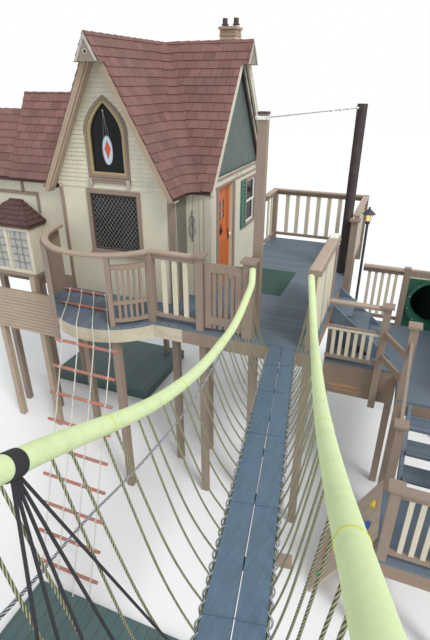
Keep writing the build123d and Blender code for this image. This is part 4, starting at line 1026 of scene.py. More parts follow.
CARCASS = {
    "blue deck across": ("floor_side", "stairs"),
    "blue deck": ("floor_front",),
    "cabin floor": ("floor_cabin",),
    "framing": ("frame_side", "frame_cabin"),
    "front rim": ("frame_front",),
    "tan timber": (
        "posts_cabin",
        "posts_deck",
        "tall_post",
        "window_front",
        "window_gothic",
        "newels",
        "balcony_boards",
        "gate",
        "bridge_end",
    ),
    "pole brown": ("back_pole",),
    "cream wall": (
        "wall_front",
        "wall_west",
        "wall_back",
        "wall_east_south",
        "wall_east_north",
        "wing_front",
        "wing_back",
        "wing_gables",
    ),
    "return boards": ("wall_return",),
    "gable panel": ("gable_east",),
    "roof base": (
        "roof_west",
        "roof_front_east",
        "roof_back_east",
        "roof_east_front",
        "roof_east_back",
        "roof_wing",
        "bay_roof",
    ),
    "barge tan": ("barge_front",),
    "cream trim": ("barge_east", "bay_box"),
    "prow grey": ("prows",),
    "brick course": ("chimney",),
    "white trim": ("window_east",),
    "door orange": ("door",),
    "balcony rail": ("rail_balcony",),
    "deck rail": ("rails_deck",),
    "parapet boards": ("parapet",),
    "dark metal": ("hinges", "lamp_post"),
    "steel cable": ("cable_top",),
    "blue bridge": ("bridge_planks",),
    "foam sleeve": ("handrails",),
    "twisted rope": ("nets",),
    "rung red": ("rope_ladder",),
    "skirt boards": ("skirt_wing",),
    "teal deck": ("ground_decks",),
    "landing boards": ("landing",),
    "platform boards": ("low_platform",),
    "low rail": ("rails_low",),
    "ramp boards": ("climb_ramp",),
    "slide green": ("slide_panel", "slide_tube"),
}


@dataclass
class Carcass:
    """The frame's nodes that keep their shape and only get their finish."""

    frame: dict

    def dress(self) -> None:
        """Puts each node's finish in its material slots."""
        for paint, names in CARCASS.items():
            for name in names:
                node = self.frame["nodes"][name]
                if len(node.material_slots) == 0:
                    node.data.materials.append(material_of(paint))
                for place in node.material_slots:
                    place.material = material_of(paint)
            LOG.info("%s: %s", paint, ", ".join(names))


# Roofs


@dataclass(frozen=True)
class Levels:
    """Heights and lines of the house that several sub-assemblies share, in metres."""

    deck: float = 2.95
    landing: float = 2.15
    ridge_z: float = 6.34
    ridge_x: float = -2.185
    slope: float = 1.842
    half: float = 0.985
    eave_z: float = 4.52563
    cross_y: float = 1.99
    cross_half: float = 1.27
    cross_slope: float = 1.42864
    rake_y: float = 0.18
    barge_y: float = 0.15
    back_rake_y: float = 3.345
    east_barge_x: float = -0.875
    front_y: float = 0.35
    west_x: float = -3.075
    front_east_x: float = -1.295
    return_y: float = 0.765
    east_x: float = -0.925
    back_y: float = 3.215
    wing_y: float = 1.25
    wing_z: float = 5.68
    wing_half: float = 0.63
    wing_eave_z: float = 4.51954
    annex_z: float = 5.44
    split_x: float = -4.23
    wing_end_x: float = -5.16
    prow_h: float = 0.29
    prow_out: float = 0.1



LV = Levels()
SHINGLED = ("roof shingle", "roof_shingle")
TAN_TIMBER = ("tan timber", "timber_tan")


@dataclass
class Shingles:
    """Overlapping rows of roof tabs on one slope, trimmed to the slope's corners."""

    name: str
    corners: tuple[Point, ...]
    drop: float = 0.1055
    width: float = 0.165
    gap: float = 0.005
    stagger: float = 0.43
    cover: float = 1.25
    thick: float = 0.006
    lift: float = 0.013
    overhang: float = 0.012
    phase: float = 0.0
    seed: int = 1

    def _axes(self) -> tuple[Vector, Vector, Vector]:
        """Gives the directions along the eave, up the slope and out of it."""
        eave = (Vector(self.corners[1]) - Vector(self.corners[0])).normalized()
        out = eave.cross(Vector(self.corners[2]) - Vector(self.corners[1])).normalized()
        return eave, out.cross(eave), out

    def _tabs(self, columns: int, rows: int, exposure: float) -> Object:
        """Lays the rows flat, each some way on from the one below.

        Args:
            columns: The number of tabs in a row.
            rows: The number of rows.
            exposure: How far a row stands below the next.

        Returns:
            The flat field of tabs.
        """
        length = exposure * self.cover
        tab = block(self.name, (0.0, 0.0, 0.0), (self.width - self.gap, length, self.thick), bevel=0.0)
        lean = Matrix.Identity(4)
        lean[2][1] = -self.lift / length
        lean[2][3] = self.lift
        tab.data.transform(lean)
        faces = len(tab.data.polygons)
        repeat(tab, 2, (self.width * self.stagger, exposure, 0.0))
        repeat(tab, columns, (self.width, 0.0, 0.0))
        repeat(tab, (rows + 1) // 2, (0.0, 2.0 * exposure, 0.0))
        dice = random.Random(self.seed)
        count = len(tab.data.polygons) // faces
        shade(tab, [dice.random() * 0.6 + dice.random() * 0.4 for _ in range(count)], faces)
        return tab

    def build(self) -> Object:
        """Builds the slope's shingles.

        Returns:
            The trimmed tabs.
        """
        along, up, out = self._axes()
        exposure = self.drop / up.z
        corners = [Vector(corner) for corner in self.corners]
        start = corners[0]
        reach = [((corner - start).dot(along), (corner - start).dot(up)) for corner in corners]
        low = min(u for u, _ in reach)
        columns = math.ceil((max(u for u, _ in reach) - low) / self.width) + 2
        rows = math.ceil(max(v for _, v in reach) / exposure) + 3
        tabs = self._tabs(columns, rows, exposure)
        place = Matrix((along, up, out)).transposed().to_4x4()
        shift = start + along * (low - self.width) - up * (self.overhang + self.phase % exposure)
        tabs.data.transform(Matrix.Translation(shift) @ place)
        for i, corner in enumerate(corners):
            outward = (corners[(i + 1) % len(corners)] - corner).normalized().cross(out)
            slack = self.overhang if i == 0 else 0.0
            trim(tabs, corner + outward * slack, outward)
        return tabs


def slope(name: str, levels: Pair, *plan: Pair, **settings: float) -> Shingles:
    """Lays out one slope.

    Args:
        name: What the slope is called.
        levels: The heights of its eave and its ridge.
        *plan: The two ends of its eave, then those of its ridge, seen from above.
        **settings: The other settings of its shingles.

    Returns:
        The slope's shingles.
    """
    eave, ridge = levels
    corners = tuple((x, y, z) for (x, y), z in zip(plan, (eave, eave, ridge, ridge)))
    return Shingles(f"shingles_{name}", corners, **settings)


@dataclass
class RoofCover:
    """Shingles on every slope and caps on every ridge."""

    cap_half: float = 0.12
    cap_len: float = 0.24
    cap_step: float = 0.16
    cap_thick: float = 0.009
    cap_top: float = 2.6
    cap_lean: float = 0.012
    annex_slope: float = 1.461
    wing_caps_x: float = -2.5
    valley_drop: float = 0.1055
    valley_reach: float = 0.13
    valley_bends: int = 6
    valley_under: float = 0.006
    valley_over: float = 0.008
    valley_lift: float = 0.024
    valley_cover: float = 1.25

    @staticmethod
    def _slopes() -> list[Shingles]:
        """Lists the large slopes, whose eaves come first."""
        west, mid_x, east = LV.ridge_x - LV.half, LV.ridge_x, LV.ridge_x + LV.half
        south, mid_y, north = LV.cross_y - LV.cross_half, LV.cross_y, LV.cross_y + LV.cross_half
        front, back, gable = LV.barge_y, LV.back_rake_y, LV.east_barge_x
        split, end, low = LV.split_x, LV.wing_end_x, LV.wing_eave_z
        near, mid, far = LV.wing_y - LV.wing_half, LV.wing_y, LV.wing_y + LV.wing_half
        cut = {"overhang": 0.0}
        top_hit = mid_x - (LV.ridge_z - LV.wing_z) / LV.slope
        low_hit = mid_x - (LV.ridge_z - low) / LV.slope
        main, wing, annex = (LV.eave_z, LV.ridge_z), (low, LV.wing_z), (low, LV.annex_z)
        return [
            slope("west", main, (west, back), (west, front), (mid_x, front), (mid_x, back), seed=2),
            slope("front_east", main, (east, front), (east, south), (mid_x, mid_y), (mid_x, front), seed=3),
            slope("back_east", main, (east, north), (east, back), (mid_x, back), (mid_x, mid_y), seed=4),
            slope("east_front", main, (east, south), (gable, south), (gable, mid_y), (mid_x, mid_y), seed=5),
            slope("east_back", main, (gable, north), (east, north), (mid_x, mid_y), (gable, mid_y), seed=6),
            slope("wing_front", wing, (split, near), (low_hit, near), (top_hit, mid), (split, mid), seed=7),
            slope("wing_back", wing, (low_hit, far), (split, far), (split, mid), (top_hit, mid), seed=8),
            slope("annex_front", annex, (end, near), (split, near), (split, mid), (end, mid), **cut, seed=9),
            slope("annex_back", annex, (split, far), (end, far), (end, mid), (split, mid), **cut, seed=10),
        ]

    @staticmethod
    def _prow_slopes() -> list[Shingles]:
        """Lists the short slopes on the prows, in line with the rows beside them."""
        low, mid_x, mid_y = LV.ridge_z - LV.prow_h, LV.ridge_x, LV.cross_y
        levels = (low, LV.ridge_z)
        front, back = LV.barge_y - LV.prow_out, LV.barge_y
        near, far = LV.east_barge_x, LV.east_barge_x + LV.prow_out
        run, cross_run = LV.prow_h / LV.slope, LV.prow_h / LV.cross_slope
        phases = [(low - LV.eave_z) * math.hypot(1.0, fall) / fall for fall in (LV.slope, LV.cross_slope)]
        east, west = mid_x + run, mid_x - run
        south, north = mid_y - cross_run, mid_y + cross_run
        plans = (
            ("front_east", (east, front), (east, back), (mid_x, back), (mid_x, front)),
            ("front_west", (west, back), (west, front), (mid_x, front), (mid_x, back)),
            ("east_front", (near, south), (far, south), (far, mid_y), (near, mid_y)),
            ("east_back", (far, north), (near, north), (near, mid_y), (far, mid_y)),
        )
        return [
            slope(f"prow_{name}", levels, *plan, phase=phases[i // 2], seed=11 + i)
            for i, (name, *plan) in enumerate(plans)
        ]

    def _caps(self, name: str, start: Vector, end: Vector, fall: float) -> Object:
        """Lays a row of bent caps along a ridge.

        Args:
            name: The row's name.
            start: Where the row starts.
            end: Where it ends.
            fall: The fall of both slopes.

        Returns:
            The row of caps.
        """
        run = (end - start).normalized()
        side = run.cross(Vector((0.0, 0.0, 1.0)))
        across = self.cap_half / math.hypot(1.0, fall)
        under = [(-across, -across * fall), (0.0, 0.0), (across, -across * fall)]
        ring = [(x, z + self.cap_top * self.cap_thick) for x, z in under]
        ring += [(x, z + self.cap_thick) for x, z in reversed(under)]
        outline = [tuple(side * x + Vector((0.0, 0.0, z))) for x, z in ring]
        cap = sheet(name, outline, tuple(run * self.cap_len))
        for vertex in cap.data.vertices:
            vertex.co.z -= self.cap_lean * (vertex.co.dot(run) / self.cap_len)
        count = int(((end - start).length - self.cap_len) / self.cap_step) + 1
        repeat(cap, count, tuple(run * self.cap_step))
        cap.data.transform(Matrix.Translation(start))
        dice = random.Random(len(name))
        shade(cap, [dice.random() for _ in range(count + 1)], len(cap.data.polygons) // count)
        return cap

    def _valley(
        self, name: str, foot: Vector, head: Vector, first: Vector, second: Vector, seed: int
    ) -> Object:
        """Lays the rows that bend from one slope into the next along a valley.

        Args:
            name: The valley's name.
            foot: Its lower end.
            head: Its upper end.
            first: The level direction away from it on one slope.
            second: The level direction away from it on the other.
            seed: The seed of the shades.

        Returns:
            The bent rows.
        """
        step = (head - foot) * (self.valley_drop / (head.z - foot.z))
        outward = (first + second).normalized() * -1.0
        if outward.dot(head - foot) > 0.0:
            outward.negate()
        bend = []
        for i in range(self.valley_bends + 1):
            share = i / self.valley_bends
            reach = first * (self.valley_reach * (1.0 - share) ** 2)
            bend.append(reach + second * (self.valley_reach * share**2))
        near = [tuple(foot + point - outward * self.valley_under) for point in bend]
        far = [tuple(foot + point + outward * self.valley_over) for point in reversed(bend)]
        strip = sheet(name, near + far, tuple(step * self.valley_cover))
        for vertex in strip.data.vertices:
            raised = (vertex.co.z - foot.z) / (step.z * self.valley_cover)
            vertex.co += outward * (self.valley_lift * (1.0 - raised)) - step * 0.1
        count = int((head.z - foot.z) / step.z)
        repeat(strip, count, tuple(step))
        dice = random.Random(seed)
        shade(strip, [0.3 + 0.4 * dice.random() for _ in range(count)], len(strip.data.polygons) // count)
        return strip

    def build(self) -> None:
        """Builds and finishes all shingles and caps."""
        for part in self._slopes() + self._prow_slopes():
            finish(part.build(), *SHINGLED)
        x, y, ridge = LV.ridge_x, LV.cross_y, LV.ridge_z
        for name, turn, seed in (("valley_front", -1.0, 21), ("valley_back", 1.0, 22)):
            foot = Vector((x + LV.half, y + turn * LV.cross_half, LV.eave_z))
            first, second = Vector((0.0, turn, 0.0)), Vector((1.0, 0.0, 0.0))
            rows = self._valley(name, foot, Vector((x, y, ridge)), first, second, seed)
            trim(rows, (0.0, 0.0, ridge), (0.0, 0.0, 1.0))
            finish(rows, *SHINGLED)
        front, east = LV.barge_y - LV.prow_out, LV.east_barge_x + LV.prow_out
        wing_y, wing_z, split, end = LV.wing_y, LV.wing_z, LV.split_x, LV.wing_end_x
        for name, start, stop, fall in (
            ("caps_main", (x, front, ridge), (x, LV.back_rake_y, ridge), LV.slope),
            ("caps_cross", (east, y, ridge), (x, y, ridge), LV.cross_slope),
            ("caps_wing", (split, wing_y, wing_z), (self.wing_caps_x, wing_y, wing_z), LV.slope),
            ("caps_annex", (end, wing_y, LV.annex_z), (split, wing_y, LV.annex_z), self.annex_slope),
        ):
            finish(self._caps(name, Vector(start), Vector(stop), fall), *SHINGLED)


# The cabin's trim


def boards(
    name: str, through: Axis, faces: Pair, *spans: Rectangle, bevel: float = 0.003
) -> list[Object]:
    """Adds boards that lie flat on a front wall or a side wall.

    Args:
        name: The name of each.
        through: The direction through the boards, X or Y.
        faces: Where their two faces lie in that direction.
        *spans: The low and the high corner of each, as seen on the wall.
        bevel: The width of the eased edges, or 0 for none.

    Returns:
        The boards.
    """
    made = []
    for low, foot, high, head in spans:
        if through is Axis.X:
            made.append(block(name, (faces[0], low, foot), (faces[1], high, head), bevel))
        else:
            made.append(block(name, (low, faces[0], foot), (high, faces[1], head), bevel))
    return made


def around(opening: Rectangle, width: float) -> tuple[Rectangle, ...]:
    """Gives four boards around an opening.

    Args:
        opening: The opening.
        width: The boards' width.

    Returns:
        The lower, the upper, the left and the right one.
    """
    low, foot, high, head = opening
    return (
        (low - width, foot - width, high + width, foot),
        (low - width, head, high + width, head + width),
        (low - width, foot, low, head),
        (high, foot, high + width, head),
    )


def panel(outer: Rectangle, stile: float, foot_rail: float, head_rail: float) -> tuple[Rectangle, ...]:
    """Gives two stiles with two rails between them.

    Args:
        outer: Their outer edge.
        stile: The stiles' width.
        foot_rail: The lower rail's height.
        head_rail: The upper rail's height.

    Returns:
        The left and the right stile, the lower and the upper rail.
    """
    low, foot, high, head = outer
    left, right = low + stile, high - stile
    stiles = (low, foot, left, head), (right, foot, high, head)
    return *stiles, (left, foot, right, foot + foot_rail), (left, head - head_rail, right, head)


@dataclass
class GableTrim:
    """The second rake boards, the clapboards of the front gable and the beam of the east gable."""

    board_drop: float = 0.178
    board_t: float = 0.022
    soffit_t: float = 0.025
    wall_drop: float = 0.1
    lap: float = 0.0555
    lap_t: float = 0.007
    laps_from: float = 4.551
    panel_drop: float = 0.225
    beam_z: Pair = (4.53, 4.64)
    strips: tuple[tuple[str, float, float, str], ...] = (
        ("strip_far", 1.0, 0.05, "pole brown"),
        ("strip_near", -1.0, 0.02, "cream trim"),
    )

    def _rakes(self) -> None:
        """Makes the pair of rake boards that meet at the front ridge."""
        cut, half, mid, foot = self.board_drop / LV.slope, LV.half, LV.ridge_x, LV.eave_z + 0.002
        flat = [
            (0.0, LV.ridge_z - 0.012),
            (half - 0.008, foot),
            (half - cut, foot),
            (0.0, LV.ridge_z - self.board_drop),
            (cut - half, foot),
            (0.008 - half, foot),
        ]
        outline = [(mid + s, LV.rake_y, z) for s, z in flat]
        pair = sheet("rake_front", outline, (0.0, self.board_t, 0.0), bevel=0.002)
        finish(pair, "barge light", "timber_tan")

    def build(self) -> None:
        """Builds the trim of both gables."""
        self._rakes()
        self._soffits()
        self._clapboards()
        self._east_panel()

    def _soffits(self) -> None:
        """Lines the underside of the roof between the rake boards and the front wall."""
        linings = []
        x, top, foot = LV.ridge_x, LV.ridge_z - 0.06, LV.eave_z - 0.052
        y = LV.rake_y + self.board_t
        for run in (-LV.half, LV.half):
            upper = [(x, y, top), (x + run, y, foot)]
            outline = [*upper, (x + run, y, foot - self.soffit_t), (x, y, top - self.soffit_t)]
            linings.append(sheet("soffit", outline, (0.0, LV.front_y - y, 0.0)))
        whole("soffits", linings, "barge light", "timber_tan")

    def _clapboards(self) -> None:
        """Lays the lapped courses on the upper front gable, around its window."""
        reach, y = LV.ridge_z - self.wall_drop, LV.front_y
        rows = []
        for i in range(int((reach - self.laps_from) / self.lap)):
            low = self.laps_from + i * self.lap
            high = low + self.lap - 0.0008
            left = [LV.ridge_x - (reach - z) / LV.slope for z in (low, high)]
            right = [LV.ridge_x + (reach - z) / LV.slope for z in (low, high)]
            gap = [GOTHIC.edge(z, 0.04) for z in (low, high)]
            spans = [(left, right)]
            if GOTHIC.z0 - 0.05 < high and low < GOTHIC.top + 0.03:
                mids = [GOTHIC.middle - g for g in gap]
                ends = [GOTHIC.middle + g for g in gap]
                spans = [(left, mids), (ends, right)]
            for (l0, l1), (r0, r1) in spans:
                outline = [(l0, y, low), (r0, y, low), (r1, y, high), (l1, y, high)]
                row = sheet("clapboards", outline, (0.0, -self.lap_t, 0.0))
                for vertex in row.data.vertices:
                    if vertex.co.y < y - self.lap_t / 2.0 and vertex.co.z > (low + high) / 2.0:
                        vertex.co.y += self.lap_t * 0.75
                rows.append(row)
        whole("clapboards", rows, "lapped board", "wall_cream")

    def _east_panel(self) -> None:
        """Lays the strips around the green panel and the moulded beam below it."""
        x, (low, high) = LV.east_x, self.beam_z
        near, far = LV.return_y, LV.back_y - 0.06
        pieces = [
            block("beam_tan", (x - 0.002, near, low + 0.068), (x + 0.014, far, low + 0.1), bevel=0.004),
            block("beam_foot", (x - 0.002, near, low - 0.03), (x + 0.012, far, low)),
        ]
        whole("beam_mouldings", pieces, *TAN_TIMBER)
        x, y, top = x - 0.036, LV.cross_y, LV.ridge_z - self.panel_drop
        foot_half = (top - high) / LV.cross_slope
        for name, side, width, paint in self.strips:
            cut = width / LV.cross_slope * math.hypot(1.0, LV.cross_slope)
            outer = [(x, y, top), (x, y + side * foot_half, high)]
            inner = [(x, y + side * (foot_half - cut), high), (x, y, top - cut * LV.cross_slope)]
            finish(sheet(name, outer + inner, (0.028, 0.0, 0.0), bevel=0.002), paint, "timber_tan")


@dataclass(frozen=True)
class GothicShape:
    """The pointed outline of the front window."""

    x0: float = -2.47
    x1: float = -1.96
    z0: float = 4.74
    spring: float = 5.19
    top: float = 5.62
    share: float = 0.56
    lean: float = 0.29
    steps: int = 9

    def _side(self, grow: float) -> list[Pair]:
        """Gives the points of the right-hand arc, from the spring to the tip."""
        run = self.x1 + grow - self.middle
        waist_z = self.spring + self.share * (self.top - self.spring) + grow / 2.0
        waist_x = run - self.lean * (self.middle - self.x0)
        rise = self.top + grow - self.spring
        ahead = (waist_z - self.spring) / rise
        points = []
        for i in range(self.steps + 1):
            s = i / self.steps
            first = run * (s - ahead) * (s - 1.0) / ahead
            second = waist_x * s * (s - 1.0) / (ahead * (ahead - 1.0))
            points.append((self.middle + first + second, self.spring + s * rise))
        return points

    @property
    def middle(self) -> float:
        """The place of the window's middle line."""
        return (self.x0 + self.x1) / 2.0

    def edge(self, z: float, grow: float) -> float:
        """Gives the half width of the outline at a height.

        Args:
            z: The height.
            grow: How far the outline stands outside the opening.

        Returns:
            The half width, or 0 above the tip.
        """
        if z <= self.spring:
            return self.x1 + grow - self.middle
        right = self._side(grow)
        for (x0, z0), (x1, z1) in zip(right, right[1:]):
            if z0 <= z <= z1:
                return x0 + (x1 - x0) * (z - z0) / (z1 - z0) - self.middle
        return 0.0

    def arch(self, grow: float, y: float) -> list[Point]:
        """Gives the outline at a depth.

        Args:
            grow: How far it stands outside the opening.
            y: The depth.

        Returns:
            The corners in order.
        """
        right = self._side(grow)
        left = [(2.0 * self.middle - x, z) for x, z in reversed(right[:-1])]
        foot = self.z0 - grow
        flat = [(self.x1 + grow, foot), *right, *left, (self.x0 - grow, foot)]
        return [(x, y, z) for x, z in flat]


GOTHIC = GothicShape()


@dataclass
class FrontWindows:
    """The pointed window with its sun-catcher and the low window with its leading."""

    casing: float = 0.07
    low: Rectangle = (-2.575, 3.65, -1.815, 4.47)
    lead: float = 0.0036
    lead_lean: float = 52.0
    pitch: float = 0.06
    end_w: float = 0.055
    bosses: tuple[Pair, ...] = ((0.035, 0.016), (0.062, 0.011), (0.085, 0.007))
    catcher_z: float = 5.03
    catcher_half: Pair = (0.078, 0.185)
    catcher_sides: int = 16

    def _ring(self, name: str, outer: float, inner: float, front: float, depth: float) -> Object:
        """Makes a pointed ring of casing.

        Args:
            name: The ring's name.
            outer: How far its outside stands out from the opening.
            inner: How far its inside does.
            front: The depth of its face.
            depth: How thick it is.

        Returns:
            The ring.
        """
        ring = sheet(name, GOTHIC.arch(outer, front), (0.0, depth, 0.0), bevel=0.003)
        hole = sheet("hole", GOTHIC.arch(inner, front - 0.02), (0.0, depth + 0.04, 0.0))
        return carve(ring, hole)

    def _leading(self, pane: Rectangle, y: float) -> Object:
        """Lays the diamond leading over a pane.

        Args:
            pane: The pane.
            y: The depth of the lead's face.

        Returns:
            The lattice.
        """
        x0, z0, x1, z1 = pane
        reach = (x1 - x0) + (z1 - z0)
        long, half = 0.75 * reach, self.lead / 2.0
        pieces = []
        for lean in (-self.lead_lean, self.lead_lean):
            bar = block("lead", (-long, 0.0, -half), (long, self.lead, half), bevel=0.0)
            bar.data.transform(Matrix.Rotation(math.radians(lean), 4, "Y"))
            count = int(1.6 * reach / self.pitch)
            repeat(bar, count, (self.pitch, 0.0, 0.0))
            middle = (x0 + x1) / 2.0 - count * self.pitch / 2.0
            bar.data.transform(Matrix.Translation((middle, y, (z0 + z1) / 2.0)))
            pieces.append(bar)
        net = join("leading", pieces)
        trim(net, (x0, 0.0, 0.0), (-1.0, 0.0, 0.0))
        trim(net, (x1, 0.0, 0.0), (1.0, 0.0, 0.0))
        trim(net, (0.0, 0.0, z0), (0.0, 0.0, -1.0))
        trim(net, (0.0, 0.0, z1), (0.0, 0.0, 1.0))
        return net

    def _gothic(self) -> None:
        """Builds the pointed window."""
        y = LV.front_y
        outer = self._ring("gothic_casing", self.casing, 0.022, y - 0.022, 0.022)
        step = self._ring("gothic_step", self.casing - 0.018, 0.03, y - 0.03, 0.012)
        x0, x1, foot = GOTHIC.x0 - self.casing, GOTHIC.x1 + self.casing, GOTHIC.z0 - self.casing
        apron = block("apron", (x0, y - 0.03, foot - 0.06), (x1, y, foot))
        ledge = block("ledge", (x0, y - 0.038, foot - 0.016), (x1, y, foot + 0.004))
        whole("gothic_casing", [outer, step, apron, ledge], *TAN_TIMBER, replaces=["window_gothic"])
        finish(self._ring("gothic_lip", 0.024, -0.012, y - 0.016, 0.03), "brass lip", "timber_tan")
        # The pointed pane is painted near-black: painted shade of the room behind.
        glass = sheet("gothic_glass", GOTHIC.arch(-0.01, y + 0.02), (0.0, 0.008, 0.0))
        finish(glass, "glass with painted room shade", "timber_tan")
        ends = []
        for x in (x0, x1 - self.end_w):
            low, high = (x, y - 0.05, foot - 0.11), (x + self.end_w, y, foot - 0.004)
            ends.append(block("apron_end", low, high, bevel=0.006))
            for down, radius in self.bosses:
                at = (x + self.end_w / 2.0, y - 0.052, foot - down)
                ends.append(disc("boss", radius, 0.008, sides=12, at=at, turn=ALONG_Y))
        whole("apron_ends", ends, "weathered grey", "prow_grey")
        self._sun_catcher(y)

    def _sun_catcher(self, y: float) -> None:
        """Hangs an oval of plain coloured glass with three fine wires in front of the pane.

        Args:
            y: The depth of the wall's face.
        """
        mid, hook_z, centre = GOTHIC.middle, GOTHIC.top - 0.11, self.catcher_z
        wide, tall = self.catcher_half
        turns = [math.tau * i / self.catcher_sides for i in range(self.catcher_sides)]
        oval = [(mid + wide * math.cos(a), centre + tall * math.sin(a)) for a in turns]
        pieces = [tube("catcher", [(x, y + 0.008, z) for x, z in oval], 0.005, cyclic=True)]
        for x, z in ((mid - 0.045, centre + 0.14), (mid + 0.045, centre + 0.14), (mid, centre + tall)):
            wire = [(mid - 0.02, y + 0.008, hook_z), (x, y + 0.008, z)]
            pieces.append(tube("wire", wire, 0.002, order=2))
        hook_at = (mid - 0.02, y + 0.012, hook_z)
        pieces.append(disc("hook", 0.013, 0.012, sides=10, at=hook_at, turn=ALONG_Y))
        whole("sun_catcher", pieces, "steel cable", "metal_dark", flat=False)
        pale = sheet("catcher_pale", [(x, y + 0.01, z) for x, z in oval], (0.0, 0.004, 0.0))
        finish(pale, "pale glass", "window_white")
        leaf = [(0.0, 0.13), (0.045, 0.02), (0.0, -0.11), (-0.045, 0.02)]
        gem = sheet("catcher_red", [(mid + x, y + 0.004, centre + z) for x, z in leaf], (0.0, 0.007, 0.0))
        finish(gem, "red glass", "door_orange")

    def _low(self) -> None:
        """Builds the low window."""
        y, (x0, z0, x1, z1) = LV.front_y, self.low
        inset = [(x0 + d, z0 + d, x1 - d, z1 - d) for d in (0.01, 0.035, 0.03)]
        frame = boards("low_casing", Axis.Y, (y - 0.022, y), *around(inset[0], 0.055))
        frame.append(block("low_sill", (x0 - 0.06, y - 0.05, z0 - 0.06), (x1 + 0.06, y, z0 - 0.03)))
        whole("low_casing", frame, *TAN_TIMBER, replaces=["window_front"])
        sash = boards("low_sash", Axis.Y, (y - 0.006, y + 0.03), *around(inset[1], 0.03))
        whole("low_sash", sash, "pole brown", "pole_brown")
        low, high = (x0 + 0.02, y + 0.018, z0 + 0.02), (x1 - 0.02, y + 0.026, z1 - 0.02)
        # The low pane is painted near-black: painted shade of the room behind.
        finish(block("low_glass", low, high, bevel=0.0), "glass with painted room shade", "timber_tan")
        finish(self._leading(inset[2], y + 0.011), "lead came", "metal_dark")

    def build(self) -> None:
        """Builds both windows."""
        self._gothic()
        self._low()


@dataclass
class CabinTrim:
    """Corner boards, the band over the low window and the ornament of the return wall."""

    board: float = 0.07
    proud: float = 0.018
    top: float = 4.51
    cream_top: float = 4.53
    wing_y: float = 0.75
    ornament: Point = (-1.2, 0.753, 4.02)
    wire_r: float = 0.0055

    def build(self) -> None:
        """Builds the trim."""
        y, t, w, foot = LV.front_y, self.proud, self.board, LV.deck + 0.002
        west, east, side = LV.west_x, LV.front_east_x, LV.east_x
        brown = [
            block("corner", (east - w, y - t, foot), (east, y, self.top)),
            block("corner", (east, y - t, foot), (east + t, y + 0.055, self.top)),
            block("corner", (west, y - t, foot), (west + w * 0.8, y, self.top)),
        ]
        whole("corner_boards", brown, *TAN_TIMBER)
        self._wing_trim(foot)
        band = block("band", (west + 0.07, y - 0.011, 4.532), (east - 0.07, y, 4.557))
        finish(band, "cream board", "wall_cream")
        y, top = LV.return_y, self.cream_top
        cream = [
            block("post_board", (side - 0.09, y - t, foot), (side + t, y, top)),
            block("post_board", (side, y, foot), (side + t, y + 0.1, top)),
        ]
        whole("cream_corner", cream, "cream trim", "wall_cream")
        spans = ((0.98, foot, 1.045, top), (1.655, foot, 1.74, top))
        whole("door_jambs", boards("jamb", Axis.X, (side - 0.002, side + t), *spans), *TAN_TIMBER)
        self._ornament()

    def _wing_trim(self, foot: float) -> None:
        """Frames the wall over the bay.

        Args:
            foot: The height at which the corner board starts.
        """
        spans = (
            (-4.16, 4.27, -4.11, 4.5),
            (-4.84, 4.235, -3.84, 4.285),
            (-3.89, 3.96, -3.84, 4.235),
            (-4.84, 3.96, -4.79, 4.235),
            (-3.15, foot, -3.077, 4.42),
        )
        trims = boards("wing_trim", Axis.Y, (self.wing_y - self.proud, self.wing_y), *spans)
        whole("wing_trim", trims, *TAN_TIMBER)

    def _ornament(self) -> None:
        """Hangs a wire scroll on the return wall, left of the cream corner."""
        x, y, z = self.ornament
        bends = ((0.012, -0.16), (0.06, -0.05), (0.012, 0.03), (0.055, 0.1), (0.0, 0.16))
        pieces = []
        for side in (-1.0, 1.0):
            pieces.append(tube("scroll", [(x + side * out, y, z + up) for out, up in bends], self.wire_r))
        pieces.append(tube("stem", [(x, y, z - 0.2), (x, y, z + 0.2)], self.wire_r, order=2))
        for level in (z - 0.2, z + 0.2):
            pieces.append(disc("pad", 0.018, 0.012, sides=10, at=(x, y + 0.006, level), turn=ALONG_Y))
        whole("wall_ornament", pieces, "steel cable", "metal_dark", flat=False)


@dataclass
class ProwTrim:
    """Weathered boards along the slanted edges of both prows and a ring around each hole."""

    width: float = 0.03
    proud: float = 0.014
    hole_drop: float = 0.19
    hole_r: float = 0.02

    def _pair(self, fall: float) -> list[Object]:
        """Makes the two boards flat in the XZ plane, with the tip at the origin.

        Args:
            fall: The fall of the roof.

        Returns:
            The boards and the ring, their faces towards the negative Y axis.
        """
        run, y = LV.prow_h / fall, -self.proud
        cut = self.width * math.hypot(1.0, fall)
        pieces = []
        for side in (-1.0, 1.0):
            outer = [(0.0, y, 0.0), (side * run, y, -LV.prow_h)]
            inner = [(side * (run - cut / fall), y, -LV.prow_h), (0.0, y, -cut)]
            pieces.append(sheet("prow_board", outer + inner, (0.0, self.proud, 0.0), bevel=0.002))
        ring = disc("hole_ring", self.hole_r + 0.012, 0.008)
        carve(ring, disc("hole", self.hole_r, 0.04))
        ring.data.transform(Matrix.Translation((0.0, -0.004, -self.hole_drop)) @ ALONG_Y)
        return [*pieces, ring]

    def build(self) -> None:
        """Builds the trim of both prows."""
        front = join("prow_trim_front", self._pair(LV.slope))
        front.data.transform(Matrix.Translation((LV.ridge_x, LV.barge_y - LV.prow_out, LV.ridge_z)))
        east = join("prow_trim_east", self._pair(LV.cross_slope))
        place = Matrix.Translation((LV.east_barge_x + LV.prow_out, LV.cross_y, LV.ridge_z))
        east.data.transform(place @ Matrix.Rotation(QUARTER, 4, "Z"))
        for pair in (front, east):
            finish(pair, "weathered grey", "prow_grey")


